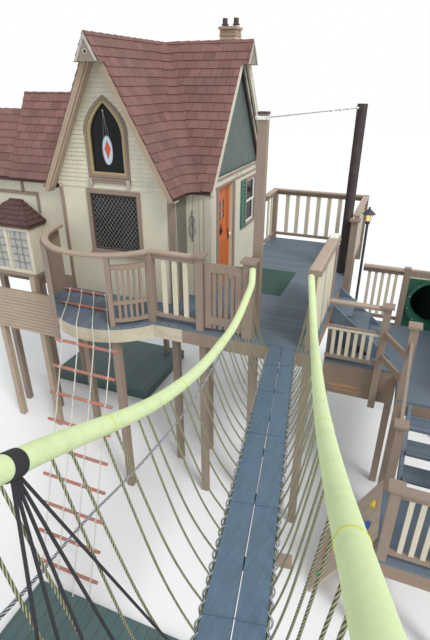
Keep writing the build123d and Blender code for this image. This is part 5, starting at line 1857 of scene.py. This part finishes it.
@dataclass
class Chimney:
    """A stack of stepped courses in two tans under a cap with two dark pots."""

    x: Pair = (-1.35, -1.11)
    y: Pair = (2.18, 2.42)
    base_z: float = 5.7
    top_z: float = 6.56
    course: float = 0.042
    joint: float = 0.002
    pots: Pair = (-1.315, -1.145)

    def build(self) -> None:
        """Builds the stack."""
        tan, light = [], []
        (x0, x1), (y0, y1) = self.x, self.y
        steps = int((self.top_z - self.base_z) / self.course)
        for i in range(steps):
            low = self.base_z + i * self.course
            last = i >= steps - 1
            out = 0.018 if last else 0.006 * (i % 2)
            corner, far = (x0 - out, y0 - out, low), (x1 + out, y1 + out, low + self.course - self.joint)
            box = block("course", corner, far, bevel=0.004)
            (light if i % 3 == 1 and not last else tan).append(box)
        whole("chimney_courses", tan, "chimney tan", "chimney_tan", replaces=["chimney"])
        whole("chimney_bands", light, "chimney light", "chimney_tan")
        pots = []
        y, top = (y0 + y1) / 2.0, self.top_z
        for x in self.pots:
            pots.append(disc("pot_base", 0.05, 0.02, sides=20, at=(x, y, top + 0.005)))
            stack = disc("pot", 0.036, 0.075, sides=20, bevel=0.004, at=(x, y, top + 0.05))
            mouth = disc("mouth", 0.026, 0.03, sides=20, at=(x, y, top + 0.085))
            pots.append(carve(stack, mouth))
        whole("chimney_pots", pots, "dark clay", "metal_dark")


@dataclass
class Door:
    """Planks, panes, knob and fittings of the door, which ride on its leaf."""

    face_x: float = -0.985
    proud: float = 0.012
    y: Pair = (1.056, 1.644)
    z: Pair = (2.956, 4.524)
    pane: Rectangle = (1.18, 4.0, 1.42, 4.28)
    stile: float = 0.085
    rail_z: Pair = (3.62, 3.72)
    rail_foot: float = 0.14
    rail_head: float = 0.1
    plank: float = 0.084
    bead: float = 0.02
    knob: Point = (-0.938, 1.59, 3.71)
    plate_half: Pair = (0.028, 0.09)
    scroll: tuple[Pair, ...] = ((1.27, 3.79), (1.25, 3.84), (1.3, 3.88), (1.35, 3.84), (1.33, 3.79))
    stem: tuple[Pair, ...] = ((1.3, 3.76), (1.3, 3.93))

    def build(self) -> None:
        """Builds the door's pieces."""
        orange = {"paint": "door orange", "slot": "door_orange", "body": DOOR}
        x, (y0, y1), (z0, z1) = self.face_x, self.y, self.z
        low, foot = y0 + self.stile, z0 + self.rail_foot
        frame = panel((y0, z0, y1, z1), self.stile, self.rail_foot, self.rail_head)
        middle_rail = (low, self.rail_z[0], y1 - self.stile, self.rail_z[1])
        rails = boards("rail", Axis.X, (x, x + self.proud), *frame, middle_rail)
        whole("door_frame", rails, **orange)
        corner = (x + 0.005, low + 0.08, self.rail_z[0])
        planks = block("plank", (x, low + 0.002, foot), corner, bevel=0.002)
        repeat(planks, 5, (0.0, self.plank, 0.0))
        finish(planks, **orange)
        py0, pz0, py1, pz1 = self.pane
        glazing = (x - 0.01, py0 + 0.004, pz0 + 0.004), (x - 0.006, py1 - 0.004, pz1 - 0.004)
        finish(block("door_pane", *glazing, bevel=0.0), "window glass", "window_white", body=DOOR)
        mid_y, mid_z, bead = (py0 + py1) / 2.0, (pz0 + pz1) / 2.0, self.bead
        cross = ((mid_y - 0.008, pz0, mid_y + 0.008, pz1), (py0, mid_z - 0.008, py1, mid_z + 0.008))
        beads = panel((py0 - bead, pz0 - bead, py1 + bead, pz1 + bead), bead, bead, bead)
        bars = boards("bar", Axis.X, (x - 0.01, x + 0.008), *cross)
        bars += boards("bar", Axis.X, (x - 0.008, x + self.proud), *beads)
        whole("door_bars", bars, **orange)
        self._fittings(x)

    def _fittings(self, x: float) -> None:
        """Adds the knob's plate and knob and a plain scroll below the pane.

        Args:
            x: The door's face.
        """
        (_, y, z), (wide, tall) = self.knob, self.plate_half
        plate = block("knob_plate", (x, y - wide, z - tall), (x + 0.015, y + wide, z + tall), bevel=0.005)
        face = x + self.proud
        curl = tube("door_scroll", [(face, *point) for point in self.scroll], 0.007)
        stem = tube("door_stem", [(face, *point) for point in self.stem], 0.006, order=2)
        whole("door_iron", [plate, curl, stem], "dark metal", "metal_dark", body=DOOR, flat=False)
        knob = disc("knob", 0.031, 0.022, sides=24, bevel=0.007, at=self.knob, turn=ALONG_X)
        finish(knob, "white knob", "window_white", body=DOOR, flat=False)


@dataclass
class SideWindow:
    """The east window: a white sash in a tan casing between louvred shutters."""

    y: Pair = (2.28, 2.74)
    z: Pair = (3.69, 4.41)
    casing: float = 0.035
    over: float = 0.012
    shutter_w: float = 0.22
    shutter_t: float = 0.022
    shutter_edge: float = 0.034
    shutter_rail: float = 0.05
    louvres: int = 12
    louvre_lean: float = -28.0
    sash: float = 0.038
    sash_rail: float = 0.035
    sash_t: float = 0.018

    def _shutter(self, low: float, z0: float, z1: float, x: float) -> Object:
        """Makes a louvred shutter flat on the wall.

        Args:
            low: Its southern edge.
            z0: Its foot.
            z1: Its head.
            x: The wall's face.

        Returns:
            The shutter.
        """
        high, edge, rail = low + self.shutter_w, self.shutter_edge, self.shutter_rail
        inner, outer = low + edge, high - edge
        spans = panel((low, z0, high, z1), edge, rail, rail)
        pieces = boards("stile", Axis.X, (x, x + self.shutter_t), *spans)
        pieces += boards("back", Axis.X, (x, x + 0.004), (inner, z0, outer, z1), bevel=0.0)
        slat = block("slat", (-0.003, inner, -0.022), (0.003, outer, 0.022), bevel=0.001)
        turn = Matrix.Rotation(math.radians(self.louvre_lean), 4, "Y")
        slat.data.transform(Matrix.Translation((x + 0.012, 0.0, z0 + 0.08)) @ turn)
        repeat(slat, self.louvres, (0.0, 0.0, (z1 - z0 - 0.11) / self.louvres))
        return join("shutter", [*pieces, slat])

    def build(self) -> None:
        """Builds the window."""
        x, (y0, y1), (z0, z1), w, over = LV.east_x, self.y, self.z, self.casing, self.over
        places = (y0 - w - self.shutter_w, y1 + w)
        shutters = [self._shutter(y, z0 - w, z1 + w, x) for y in places]
        whole("shutters", shutters, "shutter green", "slide_green", replaces=["window_east"])
        spans = (
            (y0 - w, z0 - w, y0 + over, z1 + w),
            (y1 - over, z0 - w, y1 + w, z1 + w),
            (y0, z1 - over, y1, z1 + w),
        )
        casing = boards("casing", Axis.X, (x, x + 0.02), *spans)
        casing += boards("sill", Axis.X, (x, x + 0.032), (y0 - w, z0 - w, y1 + w, z0 + 0.008))
        whole("side_casing", casing, *TAN_TIMBER)
        mid, rail = (z0 + z1) / 2.0, self.sash_rail
        sash = []
        for low, high, depth in ((z0, mid + 0.015, -0.006), (mid - 0.015, z1, 0.004)):
            spans = panel((y0 + over, low, y1 - over, high), self.sash, rail, rail)
            sash += boards("sash", Axis.X, (x + depth - self.sash_t, x + depth), *spans)
        whole("side_sash", sash, "white trim", "window_white")
        # The side pane is painted near-black: painted shade of the room behind.
        glass = block("side_glass", (x - 0.022, y0 + 0.02, z0), (x - 0.019, y1 - 0.02, z1), bevel=0.0)
        finish(glass, "glass with painted room shade", "window_white")
        back = block("side_shade", (x - 0.03, y0 + 0.004, z0), (x - 0.024, y1 - 0.004, z1), bevel=0.0)
        finish(back, "white trim", "window_white")


@dataclass
class BayTrim:
    """Leading, shingles and bands of the small bay in the wing."""

    x: Pair = (-4.8, -3.82)
    y: float = 0.37
    z: Pair = (3.01, 3.81)
    wall_y: float = 0.75
    edge: float = 0.09
    over: float = 0.04
    board: float = 0.038
    rise: float = 0.33
    hip: float = 0.42

    def build(self) -> None:
        """Builds the bay's details."""
        (x0, x1), y, (z0, z1) = self.x, self.y, self.z
        middle, half = (x0 + x1) / 2.0, (x1 - x0) / 2.0
        wide, foot, head = half / 2.0 - 0.075, z0 + self.edge, z1 - self.edge
        panes, leads = [], []
        for centre in (middle - half / 2.0 + 0.02, middle + half / 2.0 - 0.02):
            left, right = centre - wide, centre + wide
            panes += boards("pane", Axis.Y, (y + 0.02, y + 0.026), (left, foot, right, head), bevel=0.0)
            levels = [foot + i * (head - foot) / 5.0 for i in range(1, 5)]
            bars = [(left, z - 0.005, right, z + 0.005) for z in levels]
            uprights = [left + i * 2.0 * wide / 3.0 for i in range(1, 3)]
            bars += [(x - 0.005, foot, x + 0.005, head) for x in uprights]
            leads += boards("lead", Axis.Y, (y + 0.014, y + 0.022), *bars, bevel=0.0)
        whole("bay_panes", panes, "leaded glass", "window_white")
        whole("bay_leads", leads, *TAN_TIMBER)
        self._roof()
        left, right = x0 - 0.012, x1 + 0.012
        spans = ((left, z0 - 0.03, right, z0 + 0.03), (left, z1 - 0.03, right, z1 - 0.002))
        whole("bay_bands", boards("bay_band", Axis.Y, (y - 0.012, self.wall_y), *spans), *TAN_TIMBER)

    def _roof(self) -> None:
        """Shingles the three slopes of the bay's roof."""
        low, high = self.x[0] - self.over, self.x[1] + self.over
        front, back = self.y - self.over, self.wall_y
        left, right = (low + self.hip, back), (high - self.hip, back)
        plans = (
            ("front", (low, front), (high, front), right, left),
            ("east", (high, front), (high, back), right),
            ("west", (low, back), (low, front), left),
        )
        levels = (self.z[1] + self.board, self.z[1] + self.rise)
        for i, (name, *plan) in enumerate(plans):
            tabs = slope(f"bay_{name}", levels, *plan, drop=0.055, width=0.11, overhang=0.004, seed=30 + i)
            finish(tabs.build(), "bay shingle", "roof_shingle")


# The rope bridge, the ladder and the small parts


@dataclass
class Bridge:
    """Ropes, lashings, sleeve joints and guys of the rope bridge."""

    start: Point = (0.43, -0.25, 2.95)
    length: float = 5.05
    rise: float = 0.956
    run: Pair = (0.18286, -0.98314)
    edge: float = 0.1563
    stations: int = 31
    first: float = 0.194
    last: float = 4.956
    rope_down: float = 0.019
    rope_r: float = 0.0058
    thin_r: float = 0.0055
    sag: float = 0.13
    left: tuple[Point, ...] = (
        (0.01, -0.225, 3.885),
        (0.075, -0.44, 3.79),
        (0.215, -1.4, 3.755),
        (0.395, -2.64, 4.05),
        (0.525, -3.55, 4.41),
        (0.645, -4.42, 4.9),
        (0.72, -4.9, 5.13),
        (0.775, -5.25, 5.298),
    )
    right: tuple[Point, ...] = (
        (0.695, -0.225, 3.9),
        (0.8, -0.6, 3.735),
        (0.955, -1.29, 3.7),
        (1.275, -3.06, 4.32),
        (1.445, -3.99, 4.74),
        (1.625, -4.96, 5.29),
        (1.679, -5.25, 5.454),
    )
    stay: tuple[Point, ...] = (
        (-0.3, -0.262, 2.84),
        (-0.345, -1.0, 2.55),
        (-0.43, -1.75, 2.46),
        (-0.46, -2.5, 2.52),
        (-0.45, -3.1, 2.68),
        (-0.28, -3.75, 2.98),
        (0.02, -4.25, 3.5),
        (0.42, -4.8, 4.2),
        (0.795, -5.22, 4.75),
    )
    guy_feet: tuple[float, ...] = (3.98, 4.25, 4.45, 4.65, 4.85)
    strips: tuple[float, ...] = (0.62, 1.3, 2.1, 2.95, 3.75, 4.05)
    under: tuple[Pair, ...] = ((3.3, 0.2), (4.0, -0.2), (4.4, 0.2))

    def _point(self, along: float, across: float, above: float = 0.0) -> Vector:
        """Gives a point over the walking plane.

        Args:
            along: The length from the deck.
            across: The width from the middle line.
            above: The height over the plane.

        Returns:
            The point.
        """
        run_x, run_y = self.run
        x = self.start[0] + along * run_x - across * run_y
        y = self.start[1] + along * run_y + across * run_x
        return Vector((x, y, self.start[2] + along * self.rise / self.length + above))

    @staticmethod
    def _at(line: Sequence[Vector], y: float) -> Vector:
        """Gives the point of a line at a depth.

        Args:
            line: The line's points, away from the deck.
            y: The depth.

        Returns:
            The point.
        """
        for a, b in zip(line, line[1:]):
            if b.y <= y <= a.y:
                return a.lerp(b, (a.y - y) / max(1e-6, a.y - b.y))
        return line[-1]

    def _side(self, grip: Sequence[Vector], across: float) -> list[Object]:
        """Hangs the pairs of ropes of one side from the grip to the plank's edge.

        Args:
            grip: The grip's line.
            across: The place of the plank's edge.

        Returns:
            The ropes.
        """
        step = (self.last - self.first) / (self.stations - 1)
        ropes = []
        for i in range(0, self.stations, 2):
            middle = self.first + (i + 0.5) * step
            for turn in (-0.5, 0.5):
                foot = self._point(middle + turn * step, across, -self.rope_down)
                if foot.y < self._point(self.last, 0.0).y - 0.02:
                    continue
                head = self._at(grip, self._point(middle + turn * step * 0.62, across).y)
                drop = (foot - head).length * self.sag
                lower = foot.lerp(head, 0.3) + Vector((0.0, 0.0, -drop))
                upper = foot.lerp(head, 0.7) + Vector((0.0, 0.0, -drop * 0.8))
                ropes.append(tube("side_rope", (head, upper, lower, foot), self.rope_r))
        return ropes

    def _lashing(self, across: float) -> Object:
        """Winds the pale lashing around the rope along a plank's edge.

        Args:
            across: The place of the plank's edge.

        Returns:
            The lashing.
        """
        side = 1.0 if across > 0.0 else -1.0
        dice = random.Random(int(across * 1000.0) + 400)
        points = []
        along = 0.2
        while along < self.length - 0.1:
            sway = 0.006 * dice.random()
            points += [
                self._point(along, across - side * (0.012 + sway), 0.006),
                self._point(along + 0.03, across + side * (0.018 + sway), -0.012),
                self._point(along + 0.055, across + side * (0.006 + sway), -0.046),
            ]
            along += 0.085
        return tube("lashing", points, self.thin_r)

    @staticmethod
    def _joint(name: str, a: Point | Vector, b: Point | Vector, radius: float, width: float) -> Object:
        """Sets a band around a sleeve half-way between two points of its line."""
        a, b = Vector(a), Vector(b)
        return disc(name, radius, width, sides=24, at=(a + b) / 2.0, turn=facing(b - a))

    def _guys(self, left: Sequence[Vector]) -> None:
        """Adds the lashed stay beside the bridge and the black ropes near its end.

        Args:
            left: The left grip's line.
        """
        finish(tube("stay", self.stay, 0.012, sides=2), "lashed cable", "metal_dark", flat=False)
        anchor = self._at(left, -4.5)
        ropes = []
        for along in self.guy_feet:
            foot = self._point(along, -self.edge, -0.02)
            line = (anchor, anchor.lerp(foot, 0.5), foot)
            ropes.append(tube("black_rope", line, self.thin_r, sides=2, order=2))
        wrap = self._joint("wrap", self._at(left, -4.45), self._at(left, -4.55), 0.041, 0.06)
        whole("black_ropes", [*ropes, wrap], "black rope", "metal_dark", flat=False)

    def build(self) -> None:
        """Builds the bridge's pieces."""
        left, right = follow(self.left), follow(self.right)
        ropes = self._side(left, -self.edge) + self._side(right, self.edge)
        ends = (self.first - 0.014, self.length / 2.0, self.last + 0.014)
        for across in (-self.edge, self.edge):
            line = [self._point(along, across, -self.rope_down) for along in ends]
            ropes.append(tube("edge_rope", line, 0.007, order=2))
        whole("side_ropes", ropes, "twisted rope", "rope_olive", replaces=["nets"], flat=False)
        lashings = [self._lashing(-self.edge), self._lashing(self.edge)]
        whole("lashings", lashings, "lashing", "rope_olive", flat=False)
        joints = []
        for line in (self.left, self.right):
            joints += [self._joint("joint", a, b, 0.0395, 0.012) for a, b in zip(line[1:], line[2:-1])]
        whole("sleeve_joints", joints, "foam band", "foam_lime", flat=False)
        self._guys(left)
        self._boards()

    def _boards(self) -> None:
        """Adds the thin cross strips and the blocks under the plank's edge."""
        strips = []
        for along in self.strips:
            ends = (self._point(along, -0.145, 0.003), self._point(along, 0.145, 0.003))
            strips.append(tube("strip", ends, 0.0045, order=2))
        whole("cross_strips", strips, "blue bridge", "deck_blue", flat=False)
        feet = []
        heading = Matrix.Rotation(math.atan2(self.run[0], -self.run[1]), 4, "Z")
        for along, across in self.under:
            foot = block("block", (-0.05, -0.03, -0.045), (0.05, 0.03, 0.0))
            foot.data.transform(Matrix.Translation(self._point(along, across, -0.045)) @ heading)
            feet.append(foot)
        whole("edge_blocks", feet, *TAN_TIMBER)


@dataclass
class Ladder:
    """The rope ladder: round rungs on pale twisted ropes."""

    floor_rungs: tuple[Point, ...] = ((-3.15, -2.33, 0.22), (-2.89, -2.02, -0.21))
    floor_z: float = 2.9713
    edge: Point = (-2.62, -1.65, -0.715)
    knee: Rectangle = (-2.6, -1.62, -0.77, 2.7)
    foot: Rectangle = (-2.08, -1.15, -2.437, 0.1242)
    rungs: int = 9
    pitch: float = 0.294
    shares: tuple[float, ...] = (0.12, 0.38, 0.64, 0.9)
    rung_r: float = 0.021
    rope_r: float = 0.008

    def build(self) -> None:
        """Builds the ladder; a rung is given by both its ends, its depth and its height."""
        floor = [(*rung, self.floor_z) for rung in self.floor_rungs]
        ropes = []
        for share in self.shares:
            levels = (*floor, (*self.edge, self.floor_z), self.knee, self.foot)
            line = [(x0 + share * (x1 - x0), y, z) for x0, x1, y, z in levels]
            ropes.append(tube("ladder_rope", line, self.rope_r, order=2))
        hanging = []
        for i in range(self.rungs):
            share = i * self.pitch / (self.knee[3] - self.foot[3])
            hanging.append([a + share * (b - a) for a, b in zip(self.knee, self.foot)])
        rungs, knots = [], []
        for x0, x1, y, z in floor + hanging:
            a, b = Vector((x0, y, z)), Vector((x1, y, z))
            middle = a.lerp(b, 0.5)
            rungs.append(disc("rung", self.rung_r, x1 - x0, sides=14, bevel=0.004, at=middle, turn=ALONG_X))
            for share in self.shares:
                radius, at = self.rung_r + 0.006, a.lerp(b, share)
                knots.append(disc("knot", radius, 0.03, sides=12, bevel=0.006, at=at, turn=ALONG_X))
        whole("ladder_rungs", rungs, "rung red", "rope_olive", replaces=["rope_ladder"], flat=False)
        whole("ladder_ropes", ropes + knots, "pale rope", "rope_olive", flat=False)


@dataclass
class SmallParts:
    """The mat, post caps, brackets, cables, slide bolts, lamp and climbing holds."""

    post_top: float = 5.54
    post_half: float = 0.058
    cable_z: float = 5.5
    cable_run: Pair = (0.72, 2.6)
    ties: tuple[float, ...] = (0.62, 0.72, 0.82, 0.93)
    slide: Point = (2.25, 2.516, 2.6)
    bolt_ring: float = 0.41
    bolts: int = 12
    lamp: Point = (1.035, 2.55, 3.85)
    lamp_bars: int = 6
    mat: Rectangle = (-0.78, 1.22, 0.02, 2.27)
    mesh: float = 0.027
    ramp: tuple[Point, Point] = ((1.21, -1.2, 0.0), (1.87, -1.2, 1.35))
    ramp_w: float = 0.91
    holds: tuple[tuple[str, float, float], ...] = (
        ("hold yellow", 0.78, 0.62),
        ("hold green", 0.6, 0.5),
        ("hold blue", 0.72, 0.33),
        ("hold yellow", 0.3, 0.78),
        ("hold green", 0.22, 0.66),
        ("hold red", 0.12, 0.5),
        ("hold blue", 0.1, 0.36),
        ("hold green", 0.04, 0.14),
    )
    rim_y: float = 0.9985
    patches: tuple[tuple[Pair, ...], ...] = (
        ((0.9, 1.73), (1.02, 1.715), (1.3, 1.735), (1.36, 1.76), (1.12, 1.775), (0.93, 1.76)),
        ((0.98, 1.665), (1.2, 1.655), (1.33, 1.672), (1.22, 1.69), (1.0, 1.685)),
    )

    def _mat(self) -> None:
        """Lays the dark mesh mat on the deck before the door."""
        (x0, y0, x1, y1), z = self.mat, LV.deck
        rows = block("mat_row", (x0, y0, z + 0.001), (x1, y0 + 0.009, z + 0.007), bevel=0.0)
        repeat(rows, int((y1 - y0) / self.mesh), (0.0, self.mesh, 0.0))
        bars = block("mat_bar", (x0, y0, z + 0.001), (x0 + 0.009, y1, z + 0.006), bevel=0.0)
        repeat(bars, int((x1 - x0) / self.mesh), (self.mesh, 0.0, 0.0))
        base = block("mat_base", (x0, y0, z + 0.0005), (x1, y1, z + 0.003), bevel=0.0)
        whole("deck_mat", [rows, bars, base], "deck mat", "slide_green")

    def _tall_post(self) -> None:
        """Caps the tall post and ties its cables."""
        top, half = self.post_top, self.post_half
        cap = block("post_cap", (-half, -half, top), (half, half, top + 0.022), bevel=0.006)
        finish(cap, "dark clay", "metal_dark")
        arm = block("bracket", (-0.075, -0.066, top - 0.055), (0.075, -0.05, top - 0.02), bevel=0.004)
        finish(arm, "white trim", "window_white")
        places = [(x, -0.07, top - 0.037) for x in (-0.055, 0.055)]
        bolts = [disc("bolt", 0.008, 0.012, sides=8, at=at, turn=ALONG_Y) for at in places]
        whole("bracket_bolts", bolts, "steel cable", "metal_dark", flat=False)
        start, run = Vector((0.0, 0.0, self.cable_z)), Vector((*self.cable_run, 0.0))
        ties = [
            disc("tie", 0.016, 0.05, sides=10, bevel=0.004, at=start + run * share, turn=facing(run))
            for share in self.ties
        ]
        whole("cable_ties", ties, "white trim", "window_white", flat=False)

    def _slide_bolts(self) -> None:
        """Bolts the ring of the slide to its panel."""
        x, y, z = self.slide
        bolts = []
        for i in range(self.bolts):
            a = math.tau * (i + 0.5) / self.bolts
            at = (x + self.bolt_ring * math.cos(a), y, z + self.bolt_ring * math.sin(a))
            bolts.append(disc("bolt", 0.012, 0.012, sides=6, at=at, turn=ALONG_Y))
        whole("slide_bolts", bolts, "steel cable", "metal_dark")

    def _climbing_holds(self) -> None:
        """Puts the coloured holds on the climbing ramp."""
        low, high = (Vector(corner) for corner in self.ramp)
        up = high - low
        out = Vector((-up.z, 0.0, up.x)).normalized()
        dice = random.Random(5)
        for i, (paint, rise, along) in enumerate(self.holds):
            at = low + up * (0.12 + rise) + Vector((0.0, self.ramp_w * along, 0.0)) + out * 0.014
            hold = disc(f"hold_{i}", 0.05 + 0.014 * dice.random(), 0.05, sides=14, bevel=0.016)
            for vertex in hold.data.vertices:
                vertex.co.x *= 1.0 + 0.35 * math.sin(3.0 * vertex.co.y * 20.0 + i)
                if vertex.co.z > 0.0:
                    vertex.co.x *= 0.72
                    vertex.co.y *= 0.8
            hold.data.transform(Matrix.Translation(at) @ facing(out))
            finish(hold, paint, "slide_green", flat=False)

    def _worn_paint(self) -> None:
        """Lays the orange patches of the landing's rim and the bleached end of the parapet's cap."""
        outlines = [[(x, self.rim_y, z) for x, z in patch] for patch in self.patches]
        patches = [sheet("patch", outline, (0.0, 0.0015, 0.0)) for outline in outlines]
        whole("worn_patches", patches, "worn timber", "timber_tan")
        patch = block("bleached_end", (0.675, 1.03, 3.9878), (0.785, 1.27, 3.9896), bevel=0.0)
        finish(patch, "white trim", "timber_tan")

    def _lamp(self) -> None:
        """Builds the post lamp: a slim pole, an open lantern with its bulb and a hood."""
        (x, y, z), foot = self.lamp, LV.landing
        pieces = []
        for radius, low, high in (
            (0.045, foot, foot + 0.05),
            (0.034, foot + 0.05, foot + 0.09),
            (0.021, foot + 0.09, z),
            (0.036, z - 0.03, z + 0.012),
            (0.016, z + 0.2, z + 0.24),
        ):
            at = (x, y, (low + high) / 2.0)
            pieces.append(disc("lamp_part", radius, high - low, sides=20, bevel=0.004, at=at))
        bpy.ops.object.select_all(action="DESELECT")
        bpy.ops.mesh.primitive_cone_add(vertices=24, radius1=0.108, radius2=0.014, depth=0.08)
        hood = bpy.context.object
        with editing():
            ease(0.003)
        hood.data.transform(Matrix.Translation((x, y, z + 0.17)))
        pieces.append(hood)
        for i in range(self.lamp_bars):
            a = math.tau * i / self.lamp_bars
            out = Vector((math.cos(a), math.sin(a), 0.0))
            low = Vector(self.lamp) + out * 0.032
            high = Vector(self.lamp) + out * 0.072 + Vector((0.0, 0.0, 0.14))
            pieces.append(tube("lamp_bar", (low, low.lerp(high, 0.5), high), 0.004, order=2))
        whole("lamp_frame", pieces, "slate metal", "metal_dark", replaces=["lamp_post"], flat=False)
        bulb = disc("lamp_bulb", 0.028, 0.085, bevel=0.012, at=(x, y, z + 0.06))
        finish(bulb, "warm bulb", "window_white", flat=False)

    def build(self) -> None:
        """Builds all of them."""
        self._mat()
        self._tall_post()
        self._slide_bolts()
        self._climbing_holds()
        self._worn_paint()
        self._lamp()


# Studio


@dataclass
class Studio:
    """The camera at the viewpoint of the picture, soft lamps and a pale floor."""

    eye: Point = (1.515, -5.17, 5.85)
    tilt: float = 63.0
    heading: float = 21.8
    lens: float = 26.44
    sensor: float = 36.0
    reach: float = 200.0
    floor_size: float = 120.0
    floor_colour: Colour = (0.82, 0.82, 0.81)
    sun_strength: float = 1.45
    fill_share: float = 0.5
    sky: float = 0.8
    sky_colour: Colour = (0.93, 0.96, 1.0)

    def set_camera(self) -> None:
        """Adds the camera."""
        data = bpy.data.cameras.new("camera")
        data.lens = self.lens
        data.sensor_width = self.sensor
        data.clip_end = self.reach
        camera = added("camera", data)
        camera.location = self.eye
        camera.rotation_euler = (math.radians(self.tilt), 0.0, math.radians(self.heading))
        bpy.context.scene.camera = camera

    def _floor(self) -> None:
        """Adds the pale floor."""
        bpy.ops.object.select_all(action="DESELECT")
        bpy.ops.mesh.primitive_plane_add(size=self.floor_size, location=(0.0, 0.0, 0.0))
        floor = bpy.context.object
        floor.name = "studio_floor"
        material, wires = Wiring.material("pale floor")
        wires.feed(wires.shader, {"Base Color": (*self.floor_colour, 1.0), "Roughness": 0.9})
        floor.data.materials.append(material)

    def _sky(self) -> None:
        """Lights the world with a cool sky that shows as white to the camera."""
        world = bpy.data.worlds.new("studio")
        world.use_nodes = True
        bpy.context.scene.world = world
        wires = Wiring(world.node_tree)
        back = wires.nodes["Background"]
        wires.feed(back, {"Color": (*self.sky_colour, 1.0), "Strength": self.sky})
        white = wires.add("Background", {"Color": (1.0, 1.0, 1.0, 1.0), "Strength": 1.0})
        rays = wires.add("LightPath").outputs
        seen = wires.math("MAXIMUM", rays["Is Camera Ray"], rays["Is Glossy Ray"])
        seen = wires.math("MAXIMUM", seen, rays["Is Transmission Ray"])
        blend = wires.add("MixShader", {"Fac": seen, 1: back.outputs[0], 2: white.outputs[0]})
        wires.feed(wires.nodes["World Output"], {"Surface": blend.outputs[0]})

    def light(self) -> None:
        """Adds the floor, the world light and two soft lamps."""
        self._floor()
        self._sky()
        for name, strength, turn, angle in (
            ("sun_key", self.sun_strength, (38.0, 12.0, 40.0), 14.0),
            ("sun_fill", self.sun_strength * self.fill_share, (50.0, 0.0, 62.0), 40.0),
        ):
            data = bpy.data.lights.new(name, "SUN")
            data.energy = strength
            data.angle = math.radians(angle)
            added(name, data).rotation_euler = tuple(math.radians(a) for a in turn)
        bpy.context.scene.view_settings.view_transform = "Standard"


def write_sizes() -> None:
    """Writes the boxes before and after dressing.
    """
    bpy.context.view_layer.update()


def main() -> None:
    """Loads the frame, dresses it and lights it."""
    logging.basicConfig(level=logging.INFO, format="%(name)s: %(message)s")
    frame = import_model()
    bpy.ops.object.select_all(action="DESELECT")
    studio = Studio()
    studio.set_camera()
    studio.light()
    Carcass(frame).dress()
    RoofCover().build()
    GableTrim().build()
    FrontWindows().build()
    CabinTrim().build()
    ProwTrim().build()
    Chimney().build()
    Door().build()
    SideWindow().build()
    BayTrim().build()
    Bridge().build()
    Ladder().build()
    SmallParts().build()
    write_sizes()


if __name__ == "__main__":
    main()
